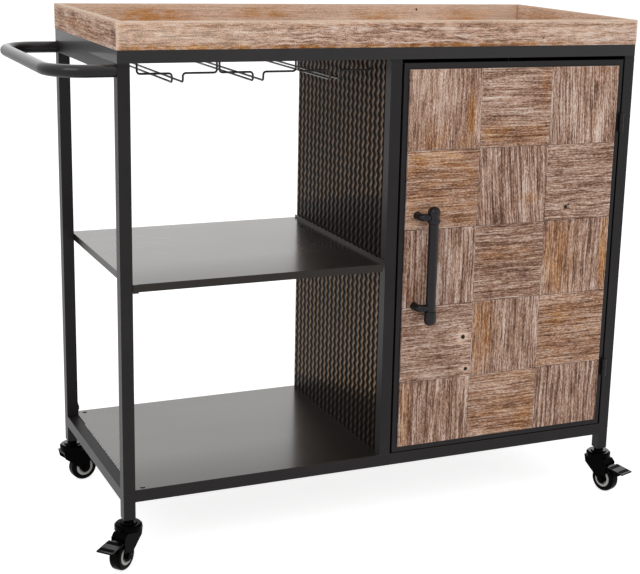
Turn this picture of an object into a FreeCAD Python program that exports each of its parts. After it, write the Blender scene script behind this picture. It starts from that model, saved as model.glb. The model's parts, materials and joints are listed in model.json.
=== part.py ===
import FreeCAD, Part
import math
import os
import re
import Sketcher

# Rolling bar cart: a square-tube frame on four swivel casters, with a wooden tray on top,
# hanging stemware racks and a shelf on the left, and a cabinet with a tiled door on the right.
# Origin on the floor under the middle of the frame; +Z up, +X right, -Y front; millimetres.

sizes = {
    # square-tube frame
    "frame_width": 943, "frame_depth": 410, "tube": 20, "tube_wall": 1.5,
    "caster_height": 82, "leg_length": 742, "rail_rise": 30, "post_offset": 461,
    "cap_flange": 3.5, "cap_plug": 12, "seat_gap": 0.1,
    "bolt_radius": 3, "bolt_length": 34, "bolt_head_radius": 5.2, "bolt_head": 2.4,
    "bolt_gap": 0.2, "ring_bolt_inset": 90,
    # push handle
    "handle_radius": 10, "handle_reach": 98, "handle_bend": 58, "handle_drop": 8,
    # wooden tray
    "tray_height": 43.5, "tray_overhang": 1, "tray_wall": 12, "tray_floor": 10, "board_joint": 0.2,
    # sheet-metal shelves and panels
    "sheet": 1.2, "tab_width": 16, "tab_height": 22, "deck_screw_inset": 15, "deck_head": 1.2,
    "shelf_height": 480.5, "shelf_lip": 5, "shelf_drop": 11.5, "shelf_front": 13, "shelf_gap": 0.3,
    "front_stop": 3, "lug_width": 9, "lug_proud": 1.5, "panel_flange": 14, "panel_recess": 3,
    "ridge_pitch": 18.5, "ridge_width": 9, "ridge_crown": 0.3, "ridge_height": 2,
    "screw_radius": 2, "screw_head_radius": 4, "screw_head": 2, "screw_length": 9, "screw_gap": 0.1,
    # stemware racks
    "rack_count": 3, "wire_radius": 1.75, "wire_bend": 5, "rack_start": 21, "rack_finish": 14.4,
    "rack_gap": 4.4, "rack_slot": 18, "rack_setback": 45, "ledge_drop": 21, "rail_drop": 35, "strap": 2,
    "strap_width": 14,
    # door
    "latch_gap": 4, "hinge_gap": 3.5, "door_foot": 1.8, "door_head": 6.5, "door_strip": 10,
    "door_depth": 15, "door_wall": 1.2, "tile_columns": 3, "tile_rows": 5, "foot_row": 0.86,
    "tile_proud": 4, "tile_thick": 9.5, "tile_joint": 0.3, "backer_thick": 9, "hinge_radius": 4.5,
    "hinge_half": 17, "hinge_pin": 2.5, "hinge_inset": 112, "pin_gap": 0.05, "run_gap": 0.3,
    "catch_width": 18, "catch_depth": 16, "catch_height": 14, "strike_thick": 1.2,
    # door pull
    "pull_bar": 8.75, "pull_arm": 6.5, "pull_cap": 10.9, "pull_spacing": 160, "pull_centre": 482.5,
    "pull_inset": 53.5, "pull_root": 31.5, "pull_standoff": 20, "pull_bend": 9, "pull_tee": 11,
    "pull_crown": 18.5, "pull_foot": 31.5, "pull_dome": 7.8, "pull_collar": 0.3, "flange_radius": 7.2,
    "flange_thick": 2,
    # casters
    "wheel_radius": 25, "tread_width": 20, "tyre_bevel": 0.35, "hub_radius": 16, "hub_rim": 0.7,
    "hub_web": 0.6, "trail": 20, "axle_radius": 3, "axle_head": 3, "axle_head_radius": 5.5,
    "fork_plate": 2.5, "fork_side_gap": 1, "fork_boss": 9, "cheek_taper": 0.85,
    "crown_gap": 8, "head_radius": 23, "head_height": 11, "head_bevel": 3, "stem_nut": 5,
    "stem_washer": 2, "washer_radius": 15, "nut_radius": 9, "kingpin": 5, "kingpin_rivet": 8,
    "rivet_thick": 2.5, "stem_length": 24, "insert_length": 28, "insert_lip": 0.5,
    "front_left_yaw": 221, "front_right_yaw": -72, "back_left_yaw": 12, "back_right_yaw": 128,
    # brake pedals
    "pivot_x": 24, "pivot_rise": 4, "pivot_barrel": 3, "pivot_pin": 2, "ear": 6, "pedal_reach": 70,
    "pedal_slope": 6, "pedal_thick": 2.5, "pedal_arm": 16, "pedal_width": 30, "plate_start": 35,
    "claw_start": 43, "claw_tip": 49.5, "claw_depth": 17, "claw_width": 14,
}

doc = FreeCAD.newDocument("RollingBarCart")
sheet = doc.addObject("Spreadsheet::Sheet", "Sizes")
for row, (alias, value) in enumerate(sizes.items(), start=1):
    sheet.set(f"A{row}", alias)
    sheet.set(f"B{row}", str(value))
    sheet.setAlias(f"B{row}", alias)
doc.recompute()


def size(alias):
    return float(sheet.get(alias))


def cells(text):
    """Put the sheet's name before each alias in an expression."""
    return re.sub(r"[a-z_]+", lambda word: ("Sizes." if word.group() in sizes else "") + word.group(), text)


def bind(item, prop, text):
    item.setExpression(prop, cells(text))


nodes = []


def node(item, label):
    item.Label = label
    nodes.append(item)
    return item


def place(item, x, y, z):
    for axis, text in zip("xyz", (x, y, z)):
        bind(item, "Placement.Base." + axis, text)


def box(name, x, y, z):
    """A block between (low, high) pairs of expressions."""
    item = doc.addObject("Part::Box", name)
    for side, (low, high) in zip(("Length", "Width", "Height"), (x, y, z)):
        bind(item, side, f"({high}) - ({low})")
    place(item, x[0], y[0], z[0])
    return item


axes = {"x": FreeCAD.Vector(1, 0, 0), "y": FreeCAD.Vector(0, 1, 0), "z": FreeCAD.Vector(0, 0, 1)}


def rod(name, radius, length, start, axis="z"):
    """A cylinder from a start point along an axis; '-x' and the like run the other way."""
    item = doc.addObject("Part::Cylinder", name)
    bind(item, "Radius", radius)
    bind(item, "Height", length)
    way = axes[axis[-1]] * (-1 if axis.startswith("-") else 1)
    item.Placement = FreeCAD.Placement(FreeCAD.Vector(), FreeCAD.Rotation(axes["z"], way))
    place(item, *start)
    return item


def fuse(name, items):
    item = doc.addObject("Part::MultiFuse", name)
    item.Shapes = items
    item.Refine = True
    return item


def cut(name, base, tools):
    item = doc.addObject("Part::Cut", name)
    item.Base = base
    item.Tool = tools[0] if len(tools) == 1 else fuse(name + "_tools", tools)
    item.Refine = True
    return item


def group(name, items):
    item = doc.addObject("Part::Compound", name)
    item.Links = items
    return node(item, name)


def new_body(name):
    return doc.addObject("PartDesign::Body", name)


def outline(body, role, points):
    """A closed sketch of straight sides, each corner tied to a pair of expressions."""
    sketch = body.newObject("Sketcher::SketchObject", body.Name + "_outline")
    sketch.AttachmentSupport = [(next(f for f in body.Origin.OriginFeatures if f.Role == role), "")]
    sketch.MapMode = "FlatFace"
    count = len(points)
    turns = [2 * math.pi * index / count for index in range(count)]
    first = [FreeCAD.Vector(size("tube") * math.cos(t), size("tube") * math.sin(t), 0) for t in turns]
    for index in range(count):
        sketch.addGeometry(Part.LineSegment(first[index], first[(index + 1) % count]))
    for index in range(count):
        sketch.addConstraint(Sketcher.Constraint("Coincident", index, 2, (index + 1) % count, 1))
    for index, point in enumerate(points):
        for kind, begin, text in zip(("DistanceX", "DistanceY"), first[index], point):
            held = sketch.addConstraint(Sketcher.Constraint(kind, index, 1, begin))
            bind(sketch, f"Constraints[{held}]", text)
    return sketch


def disc(body, role, centre, radius):
    """A round sketch."""
    sketch = body.newObject("Sketcher::SketchObject", body.Name + "_disc")
    sketch.AttachmentSupport = [(next(f for f in body.Origin.OriginFeatures if f.Role == role), "")]
    sketch.MapMode = "FlatFace"
    start = FreeCAD.Vector(size("tube"), size("tube"), 0)
    sketch.addGeometry(Part.Circle(start, FreeCAD.Vector(0, 0, 1), size("tube") / 2))
    for kind, begin, text in zip(("DistanceX", "DistanceY"), start, centre):
        held = sketch.addConstraint(Sketcher.Constraint(kind, 0, 3, begin))
        bind(sketch, f"Constraints[{held}]", text)
    held = sketch.addConstraint(Sketcher.Constraint("Radius", 0, size("tube") / 2))
    bind(sketch, f"Constraints[{held}]", radius)
    return sketch


def pad(body, sketch, length, midplane=False, kind="PartDesign::Pad"):
    feature = body.newObject(kind, body.Name + "_" + kind.split("::")[1].lower())
    feature.Profile = sketch
    feature.Midplane = midplane
    bind(feature, "Length", length)
    return feature


def revolve(body, sketch, axis="V_Axis"):
    feature = body.newObject("PartDesign::Revolution", body.Name + "_turned")
    feature.Profile = sketch
    feature.ReferenceAxis = (sketch, [axis])
    feature.Angle = 360
    return feature


def bent_path(points, bend):
    """Straight runs between points, joined by tangent arcs of one radius."""
    edges = []
    start = points[0]
    for before, corner, after in zip(points, points[1:], points[2:]):
        back = (before - corner).normalize()
        ahead = (after - corner).normalize()
        half = back.getAngle(ahead) / 2
        reach = bend / math.tan(half)
        middle = corner + (back + ahead).normalize() * (bend / math.sin(half) - bend)
        edges.append(Part.LineSegment(start, corner + back * reach).toShape())
        edges.append(Part.Arc(corner + back * reach, middle, corner + ahead * reach).toShape())
        start = corner + ahead * reach
    edges.append(Part.LineSegment(start, points[-1]).toShape())
    return Part.Wire(edges)


def bent_rod(points, radius, bend):
    """A round rod swept along a bent path."""
    path = bent_path(points, bend)
    ring = Part.Wire(Part.makeCircle(radius, points[0], points[1] - points[0]))
    return path.makePipeShell([ring], True, False)


# Places shared by many pieces, as expressions of the sizes.
left, right = "(-frame_width / 2)", "(frame_width / 2)"
front, back = "(-frame_depth / 2)", "(frame_depth / 2)"
leg_top = "(caster_height + leg_length)"
ring_low = f"({leg_top} + cap_flange)"
ring_high = f"({ring_low} + tube)"
rail_low = "(caster_height + rail_rise)"
rail_high = f"({rail_low} + tube)"
deck = f"({rail_high} + sheet)"
post_left = f"({left} + post_offset)"
post_right = f"({post_left} + tube)"
post_middle = f"({post_left} + tube / 2)"
left_inner = f"({left} + tube)"
right_inner = f"({right} - tube)"
leg_rows = {"front": f"({front} + tube / 2)", "back": f"({back} - tube / 2)"}
leg_columns = {"left": f"({left} + tube / 2)", "right": f"({right} - tube / 2)"}


def tube_box(name, x, y, z, open_axis, grow="0"):
    """The outside and the hollow of a square tube that is open along one axis."""
    hollow = []
    for axis, (low, high) in zip("xyz", (x, y, z)):
        step = f"-({grow})" if axis == open_axis else "tube_wall"
        hollow.append((f"({low}) + {step}", f"({high}) - ({step})"))
    return box(name, x, y, z), box(name + "_hollow", *hollow)


# End frames: two legs with a top and a bottom side rail welded between them.
ring_bolt_rows = [f"({front} + ring_bolt_inset)", f"({back} - ring_bolt_inset)"]
tab_bolt_z = f"({deck} + tab_height / 2)"


def end_frame(side):
    low = left if side == "left" else right_inner
    x = (low, f"{low} + tube")
    outsides, hollows = [], []
    for row, y_low in (("front", front), ("back", f"({back} - tube)")):
        outer, hollow = tube_box(f"{side}_{row}_leg", x, (y_low, f"{y_low} + tube"),
                                 ("caster_height", leg_top), "z")
        outsides.append(outer)
        hollows.append(hollow)
    between = (f"{front} + tube", f"{back} - tube")
    for name, z in (("top", (f"{ring_low} - tube", ring_low)), ("bottom", (rail_low, rail_high))):
        outer, hollow = tube_box(f"{side}_{name}_rail", x, between, z, "y", "tube_wall")
        outsides.append(outer)
        hollows.append(hollow)
    holes = []
    for index, y in enumerate(ring_bolt_rows):
        holes.append(rod(f"{side}_ring_hole_{index}", "bolt_radius + bolt_gap", "tube * 2",
                         (f"{low} + tube / 2", y, f"{ring_low} - tube * 1.5")))
    inner_face = left_inner if side == "left" else right_inner
    holes.append(rod(f"{side}_tab_hole", "bolt_radius + bolt_gap", "tube",
                     (f"{inner_face} - tube / 2", leg_rows["back"], tab_bolt_z), "x"))
    shell = fuse(f"{side}_end_outside", outsides)
    node(cut(f"{side}_end_frame", shell, hollows + holes), f"{side}_end_frame")


end_frame("left")
end_frame("right")

# Top ring of square tube under the tray, with the holes that its bolts come up through.
ring_outer = box("ring_outer", (left, right), (front, back), (ring_low, ring_high))
ring_window = box("ring_window", (left_inner, right_inner), (f"{front} + tube", f"{back} - tube"),
                  (ring_low, ring_high))
ring_core = box("ring_core", (f"{left} + tube_wall", f"{right} - tube_wall"),
                (f"{front} + tube_wall", f"{back} - tube_wall"),
                (f"{ring_low} + tube_wall", f"{ring_high} - tube_wall"))
ring_heart = box("ring_heart", (f"{left_inner} - tube_wall", f"{right_inner} + tube_wall"),
                 (f"{front} + tube - tube_wall", f"{back} - tube + tube_wall"),
                 (f"{ring_low} - tube", f"{ring_high} + tube"))
ring_hollow = cut("ring_hollow", ring_core, [ring_heart])
ring_holes = [rod(f"ring_hole_{side}_{index}", "bolt_radius + bolt_gap", "tube",
                  (x, y, f"{ring_low} - tube / 2"))
              for side, x in leg_columns.items() for index, y in enumerate(ring_bolt_rows)]
node(cut("top_ring", ring_outer, [ring_window, ring_hollow] + ring_holes), "top_ring")

# Bottom rails: tubes welded between the legs, with screw holes for the bottom shelf.
deck_screw_columns = {"left": f"({left_inner} + deck_screw_inset)",
                      "right": f"({right_inner} - deck_screw_inset)"}
for row, y_low in (("front", front), ("back", f"({back} - tube)")):
    outer, hollow = tube_box(f"{row}_rail_outer", (left_inner, right_inner), (y_low, f"{y_low} + tube"),
                             (rail_low, rail_high), "x", "tube_wall")
    holes = [rod(f"{row}_rail_hole_{side}", "screw_radius + screw_gap", "tube",
                 (x, leg_rows[row], f"{rail_high} - tube / 2"))
             for side, x in deck_screw_columns.items()]
    node(cut(f"{row}_bottom_rail", outer, [hollow] + holes), f"{row}_bottom_rail")

# Divider post: stands on the bottom shelf over the front rail.
outer, hollow = tube_box("post_outer", (post_left, post_right), (front, f"{front} + tube"),
                         (f"{deck} + seat_gap", leg_top), "z", "tube_wall")
post_screw_hole = rod("post_screw_hole", "screw_radius + screw_gap", "tube_wall * 3",
                      (f"{post_left} - tube_wall", leg_rows["front"], "shelf_height - shelf_drop / 2"), "x")
node(cut("divider_post", outer, [hollow, post_screw_hole]), "divider_post")

# Caps closing the tops of the four legs and the post; the ring rests on them.
top_centres = [(x, y) for x in leg_columns.values() for y in leg_rows.values()]
top_centres.append((post_middle, leg_rows["front"]))
caps = []
plug_half = "(tube / 2 - tube_wall - seat_gap)"
for index, (x, y) in enumerate(top_centres):
    flange = box(f"cap_flange_{index}", (f"{x} - tube / 2", f"{x} + tube / 2"),
                 (f"{y} - tube / 2", f"{y} + tube / 2"), (leg_top, ring_low))
    plug = box(f"cap_plug_{index}", (f"{x} - {plug_half}", f"{x} + {plug_half}"),
               (f"{y} - {plug_half}", f"{y} + {plug_half}"), (f"{leg_top} - cap_plug", leg_top))
    caps.append(fuse(f"cap_{index}", [flange, plug]))
group("post_caps", caps)

# Button-head bolts: four up through the top side rails, two through the shelf's tabs into the back legs.
bolts = []
for side, x in leg_columns.items():
    for index, y in enumerate(ring_bolt_rows):
        head = rod(f"bolt_head_{side}_{index}", "bolt_head_radius", "bolt_head",
                   (x, y, f"{ring_low} - tube - bolt_head"))
        shank = rod(f"bolt_shank_{side}_{index}", "bolt_radius", "bolt_length",
                    (x, y, f"{ring_low} - tube"))
        bolts.append(fuse(f"ring_bolt_{side}_{index}", [head, shank]))
    if side == "left":
        face, inward, way = f"({left_inner} + shelf_gap + sheet)", "+", "-x"
    else:
        face, inward, way = f"({right_inner} - shelf_gap - sheet)", "-", "x"
    head = rod(f"tab_bolt_head_{side}", "bolt_head_radius", "bolt_head",
               (f"{face} {inward} bolt_head", leg_rows["back"], tab_bolt_z), way)
    shank = rod(f"tab_bolt_shank_{side}", "bolt_radius", "tube / 2",
                (face, leg_rows["back"], tab_bolt_z), way)
    bolts.append(fuse(f"tab_bolt_{side}", [head, shank]))
group("frame_bolts", bolts)


# Push handle: one round tube bent into a U, its ends welded to the outer faces of the left legs.
def push_handle():
    bend = size("handle_bend")
    near = -size("frame_width") / 2
    out = near - size("handle_reach")
    row = size("frame_depth") / 2 - size("tube") / 2
    height = size("caster_height") + size("leg_length") - size("handle_drop")
    points = [FreeCAD.Vector(*p) for p in ((near, -row, height), (out, -row, height),
                                           (out, row, height), (near, row, height))]
    outside = bent_rod(points, size("handle_radius"), bend)
    bore = bent_rod(points, size("handle_radius") - size("tube_wall"), bend)
    return outside.cut(bore)


handle = doc.addObject("Part::Feature", "push_handle")
handle.Shape = push_handle()
handle.Placement = FreeCAD.Placement()
node(handle, "push_handle")

# Wooden tray: four boards mitred at the corners, standing on the ring round a floor board.
tray_left, tray_right = f"({left} - tray_overhang)", f"({right} + tray_overhang)"
tray_front, tray_back = f"({front} - tray_overhang)", f"({back} + tray_overhang)"


def tray_wall(name, corners):
    """Corners are the outer edge's two ends and the inner edge's two ends, in plan."""
    board = new_body(name)
    pad(board, outline(board, "XY_Plane", corners), "tray_height")
    place(board, "0", "0", ring_high)
    node(board, name)


inner_left, inner_right = f"({tray_left} + tray_wall)", f"({tray_right} - tray_wall)"
inner_front, inner_back = f"({tray_front} + tray_wall)", f"({tray_back} - tray_wall)"
for side, y, inner in (("front", tray_front, inner_front), ("back", tray_back, inner_back)):
    tray_wall(f"tray_{side}_wall", [
        (f"{tray_left} + board_joint", y), (f"{tray_right} - board_joint", y),
        (f"{inner_right} - board_joint", inner), (f"{inner_left} + board_joint", inner)])
for side, x, inner in (("left", tray_left, inner_left), ("right", tray_right, inner_right)):
    tray_wall(f"tray_{side}_wall", [
        (x, f"{tray_front} + board_joint"), (inner, f"{inner_front} + board_joint"),
        (inner, f"{inner_back} - board_joint"), (x, f"{tray_back} - board_joint")])

# Stemware racks hang under the tray floor, side by side in the left bay.
rack_count = int(size("rack_count"))
rack_pitch = f"(({post_left} - {left_inner} - rack_start - rack_finish) / rack_count)"
rack_rows = {"front": f"({front} + rack_setback)", "back": f"({back} - rack_setback)"}
rack_screw_step = f"(({rack_pitch} - rack_gap) / 4)"


def rack_centre(index):
    return f"({left_inner} + rack_start + {rack_pitch} * {index + 0.5})"


floor_board = box("floor_board", (f"{inner_left} + board_joint", f"{inner_right} - board_joint"),
                  (f"{inner_front} + board_joint", f"{inner_back} - board_joint"),
                  (ring_high, f"{ring_high} + tray_floor"))
floor_holes, rack_screws = [], []
for index in range(rack_count):
    for row, y in rack_rows.items():
        for side, sign in (("left", "-"), ("right", "+")):
            x = f"({rack_centre(index)} {sign} {rack_screw_step})"
            name = f"{index}_{row}_{side}"
            floor_holes.append(rod(f"floor_hole_{name}", "screw_radius + screw_gap", "screw_length",
                                   (x, y, f"{ring_high} - strap")))
            head = rod(f"rack_screw_head_{name}", "screw_head_radius", "screw_head",
                       (x, y, f"{ring_high} - strap - screw_head"))
            shank = rod(f"rack_screw_shank_{name}", "screw_radius", "screw_length - screw_gap",
                        (x, y, f"{ring_high} - strap"))
            rack_screws.append(fuse(f"rack_screw_{name}", [head, shank]))
node(cut("tray_floor", floor_board, floor_holes), "tray_floor")
group("rack_screws", rack_screws)


# One rack: a pair of bent wires with a slot between them, welded to two flat straps.
def stem_rack(index):
    tube, wire = size("tube"), size("wire_radius")
    bay_left = -size("frame_width") / 2 + tube
    bay = size("post_offset") - tube - size("rack_start") - size("rack_finish")
    pitch = bay / rack_count
    centre = bay_left + size("rack_start") + pitch * (index + 0.5)
    outer, inner = (pitch - size("rack_gap")) / 2, size("rack_slot") / 2
    front_y = -size("frame_depth") / 2 + size("rack_setback")
    ring = size("caster_height") + size("leg_length") + size("cap_flange")
    strap_low = ring + tube - size("strap")
    ledge, rail = ring - size("ledge_drop"), ring - size("rail_drop")
    pieces = []
    for side in (-1, 1):
        far, near = centre + side * outer, centre + side * inner
        half = [(far, strap_low), (far, ledge), (near, ledge), (near, rail)]
        points = [FreeCAD.Vector(x, front_y, z) for x, z in half]
        points += [FreeCAD.Vector(x, -front_y, z) for x, z in reversed(half)]
        pieces.append(bent_rod(points, wire, size("wire_bend")))
    for y in (front_y, -front_y):
        corner = FreeCAD.Vector(centre - outer - wire, y - size("strap_width") / 2, strap_low)
        strap = Part.makeBox(2 * (outer + wire), size("strap_width"), size("strap"), corner)
        for side in (-1, 1):
            hole = FreeCAD.Vector(centre + side * outer / 2, y, strap_low - size("strap"))
            strap = strap.cut(Part.makeCylinder(size("screw_radius") + size("screw_gap"),
                                                3 * size("strap"), hole))
        pieces.append(strap)
    return pieces[0].multiFuse(pieces[1:]).removeSplitter()


for index, label in enumerate(("left", "middle", "right")):
    rack = doc.addObject("Part::Feature", f"stem_rack_{label}")
    rack.Shape = stem_rack(index)
    rack.Placement = FreeCAD.Placement()
    node(rack, f"stem_rack_{label}")

# Bottom shelf: a sheet lying on the two rails, with a tab turned up at each back leg.
deck_span = (f"{left_inner} + shelf_gap", f"{right_inner} - shelf_gap")
deck_pieces = [box("deck_sheet", deck_span, (front, back), (rail_high, deck))]
for side, x in (("left", (deck_span[0], f"{deck_span[0]} + sheet")),
                ("right", (f"{deck_span[1]} - sheet", deck_span[1]))):
    deck_pieces.append(box(f"deck_tab_{side}", x,
                           (f"{leg_rows['back']} - tab_width / 2", f"{leg_rows['back']} + tab_width / 2"),
                           (rail_high, f"{deck} + tab_height")))
deck_holes = [rod("deck_tab_holes", "bolt_radius + bolt_gap", "frame_width",
                  (left, leg_rows["back"], tab_bolt_z), "x")]
for row, y in leg_rows.items():
    for side, x in deck_screw_columns.items():
        deck_holes.append(rod(f"deck_hole_{row}_{side}", "screw_radius + screw_gap", "sheet * 3",
                              (x, y, f"{deck} - sheet * 2")))
node(cut("bottom_shelf", fuse("deck_folded", deck_pieces), deck_holes), "bottom_shelf")

# Middle shelf: a sheet folded down at the front, left and back, with a lip up beside the divider.
shelf_left = f"({left_inner} + shelf_gap)"
shelf_right = f"({post_left} - shelf_gap)"
fold = ("shelf_height - shelf_drop - sheet", "shelf_height")
shelf_screw_z = "shelf_height - shelf_drop / 2"
pan_pieces = [
    box("pan_sheet", (shelf_left, shelf_right), (front, back), ("shelf_height - sheet", "shelf_height")),
    box("pan_front", (shelf_left, f"{shelf_right} - front_stop"), (front, f"{front} + sheet"),
        ("shelf_height - shelf_front", "shelf_height")),
    box("pan_lug", (shelf_left, f"{shelf_left} + lug_width"), (f"{front} - lug_proud", f"{front} + sheet"),
        ("shelf_height - shelf_front - lug_proud", "shelf_height")),
    box("pan_left", (shelf_left, f"{shelf_left} + sheet"), (front, back), fold),
    box("pan_right", (f"{shelf_right} - sheet", shelf_right), (front, back),
        (fold[0], "shelf_height + shelf_lip")),
    box("pan_back", (shelf_left, shelf_right), (f"{back} - sheet", back), fold),
]
pan_holes = [rod(f"pan_hole_{name}", "screw_radius + screw_gap", "sheet * 3",
                 (f"{x} - sheet", y, shelf_screw_z), "x")
             for name, x, y in (("left_front", shelf_left, leg_rows["front"]),
                                ("left_back", shelf_left, leg_rows["back"]),
                                ("right_front", f"({shelf_right} - sheet)", leg_rows["front"]))]
node(cut("middle_shelf", fuse("pan", pan_pieces), pan_holes), "middle_shelf")

# Divider panel: a ridged sheet in line with the post's left face, flanged at the back.
panel_x = f"({post_left} + seat_gap + ridge_height + sheet / 2)"
panel_low, panel_high = f"({deck} + seat_gap)", f"({ring_low} - seat_gap)"
panel_start, panel_end = f"({front} + tube + shelf_gap)", f"({back} - sheet - shelf_gap)"
ridge_count = int((size("frame_depth") - size("tube")) / size("ridge_pitch"))
divider = new_body("wave_panel")
half_sheet = "(sheet / 2)"
pad(divider, outline(divider, "XY_Plane", [(f"-{half_sheet}", panel_start), (half_sheet, panel_start),
                                           (half_sheet, f"{panel_end} - sheet"),
                                           ("panel_flange", f"{panel_end} - sheet"),
                                           ("panel_flange", panel_end), (f"-{half_sheet}", panel_end)]),
    f"{panel_high} - {panel_low}")
ridge_first = f"({panel_start} + ridge_pitch / 4)"
ridge = pad(divider, outline(divider, "XY_Plane", [
    (f"-{half_sheet}", ridge_first), (f"-{half_sheet}", f"{ridge_first} + ridge_width"),
    (f"-{half_sheet} - ridge_height", f"{ridge_first} + ridge_width * (1 + ridge_crown) / 2"),
    (f"-{half_sheet} - ridge_height", f"{ridge_first} + ridge_width * (1 - ridge_crown) / 2")]),
    f"{panel_high} - {panel_low}")
ridges = divider.newObject("PartDesign::LinearPattern", "ridges")
ridges.Originals = [ridge]
ridges.Direction = (next(f for f in divider.Origin.OriginFeatures if f.Role == "Y_Axis"), [""])
ridges.Occurrences = ridge_count
bind(ridges, "Length", f"ridge_pitch * {ridge_count - 1}")
divider.Tip = ridges
place(divider, panel_x, "0", panel_low)
node(divider, "wave_panel")

# Cabinet sheets: the right side between the legs, the back, and a shelf flanged up all round.
side_x = (f"{right} - panel_recess - sheet", f"{right} - panel_recess")
side_y = (f"{front} + tube + seat_gap", f"{back} - tube - seat_gap")
node(box("side_panel", side_x, side_y, (f"{rail_high} + seat_gap", f"{ring_low} - tube - seat_gap")),
     "side_panel")
node(box("back_panel", (f"{panel_x} + sheet / 2 + shelf_gap", f"{right_inner} - shelf_gap"),
         (f"{back} - sheet", back), (f"{deck} + seat_gap", f"{ring_low} - seat_gap")), "back_panel")
inside_left, inside_right = f"({panel_x} + sheet / 2 + shelf_gap)", f"({side_x[0]} - shelf_gap)"
inside_front, inside_back = f"({front} + tube + shelf_gap)", f"({back} - tube - shelf_gap)"
ledge_walls = ("shelf_height - sheet", "shelf_height + shelf_drop")
node(fuse("cabinet_shelf", [
    box("ledge_sheet", (inside_left, inside_right), (inside_front, inside_back),
        ("shelf_height - sheet", "shelf_height")),
    box("ledge_front", (inside_left, inside_right), (inside_front, f"{inside_front} + sheet"),
        ("shelf_height - shelf_front", "shelf_height")),
    box("ledge_left", (inside_left, f"{inside_left} + sheet"), (inside_front, inside_back), ledge_walls),
    box("ledge_right", (f"{inside_right} - sheet", inside_right), (inside_front, inside_back), ledge_walls),
]), "cabinet_shelf")

# Screws holding the middle shelf to the left legs and the post, and the bottom shelf to its rails.
shelf_screws = []
for name, face, y, way in (("left_front", f"({shelf_left} + sheet)", leg_rows["front"], "-x"),
                           ("left_back", f"({shelf_left} + sheet)", leg_rows["back"], "-x"),
                           ("right_front", f"({shelf_right} - sheet)", leg_rows["front"], "x")):
    outward = "+" if way == "-x" else "-"
    head = rod(f"shelf_screw_head_{name}", "screw_head_radius", "screw_head",
               (f"{face} {outward} screw_head", y, shelf_screw_z), way)
    shank = rod(f"shelf_screw_shank_{name}", "screw_radius", "sheet + shelf_gap - seat_gap",
                (face, y, shelf_screw_z), way)
    shelf_screws.append(fuse(f"shelf_screw_{name}", [head, shank]))
for row, y in leg_rows.items():
    for side, x in deck_screw_columns.items():
        head = rod(f"deck_screw_head_{row}_{side}", "screw_head_radius", "deck_head", (x, y, deck))
        shank = rod(f"deck_screw_shank_{row}_{side}", "screw_radius", "screw_length",
                    (x, y, f"{deck} - screw_length"))
        shelf_screws.append(fuse(f"deck_screw_{row}_{side}", [head, shank]))
group("shelf_screws", shelf_screws)

# Door: a flat tube frame round a backer board with wooden tiles, laid from the top, the last row cut.
door_left, door_right = f"({post_right} + latch_gap)", f"({right_inner} - hinge_gap)"
door_low, door_high = f"({deck} + door_foot)", f"({ring_low} - door_head)"
field_left, field_right = f"({door_left} + door_strip)", f"({door_right} - door_strip)"
field_low, field_high = f"({door_low} + door_strip)", f"({door_high} - door_strip)"
door_y = (front, f"{front} + door_depth")
door_outer = box("door_outer", (door_left, door_right), door_y, (door_low, door_high))
door_window = box("door_window", (field_left, field_right), (f"{front} - tube", f"{front} + tube"),
                  (field_low, field_high))
door_core = box("door_core", (f"{door_left} + door_wall", f"{door_right} - door_wall"),
                (f"{front} + door_wall", f"{front} + door_depth - door_wall"),
                (f"{door_low} + door_wall", f"{door_high} - door_wall"))
door_heart = box("door_heart", (f"{field_left} - door_wall", f"{field_right} + door_wall"),
                 (f"{front} - tube", f"{front} + tube"),
                 (f"{field_low} - door_wall", f"{field_high} + door_wall"))
door_hollow = cut("door_hollow", door_core, [door_heart])
drains = [rod(f"door_drain_{index}", "screw_radius", "door_wall * 3",
              (x, f"{front} + door_depth / 2", f"{door_low} - door_wall"))
          for index, x in enumerate((f"{door_left} + pull_inset", f"{door_right} - pull_inset"))]
node(cut("door_frame", door_outer, [door_window, door_hollow] + drains), "door_frame")

tile_back = f"({front} - tile_proud + tile_thick)"
node(box("door_backer", (f"{field_left} + tile_joint", f"{field_right} - tile_joint"),
         (tile_back, f"{tile_back} + backer_thick"),
         (f"{field_low} + tile_joint", f"{field_high} - tile_joint")), "door_backer")
tile_columns, tile_rows = int(size("tile_columns")), int(size("tile_rows"))
tile_width = f"(({field_right} - {field_left}) / tile_columns)"
tile_height = f"(({field_high} - {field_low}) / (tile_rows - 1 + foot_row))"
for column, label in enumerate(("left", "middle", "right")):
    tiles = []
    x_low = f"{field_left} + {tile_width} * {column}"
    for row in range(tile_rows):
        z_high = f"{field_high} - {tile_height} * {row}"
        z_low = field_low if row == tile_rows - 1 else f"{field_high} - {tile_height} * {row + 1}"
        tiles.append(box(f"tile_{label}_{row}",
                         (f"{x_low} + tile_joint", f"{x_low} + {tile_width} - tile_joint"),
                         (f"{front} - tile_proud", tile_back),
                         (f"{z_low} + tile_joint", f"{z_high} - tile_joint")))
    group(f"door_tiles_{label}", tiles)

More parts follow.
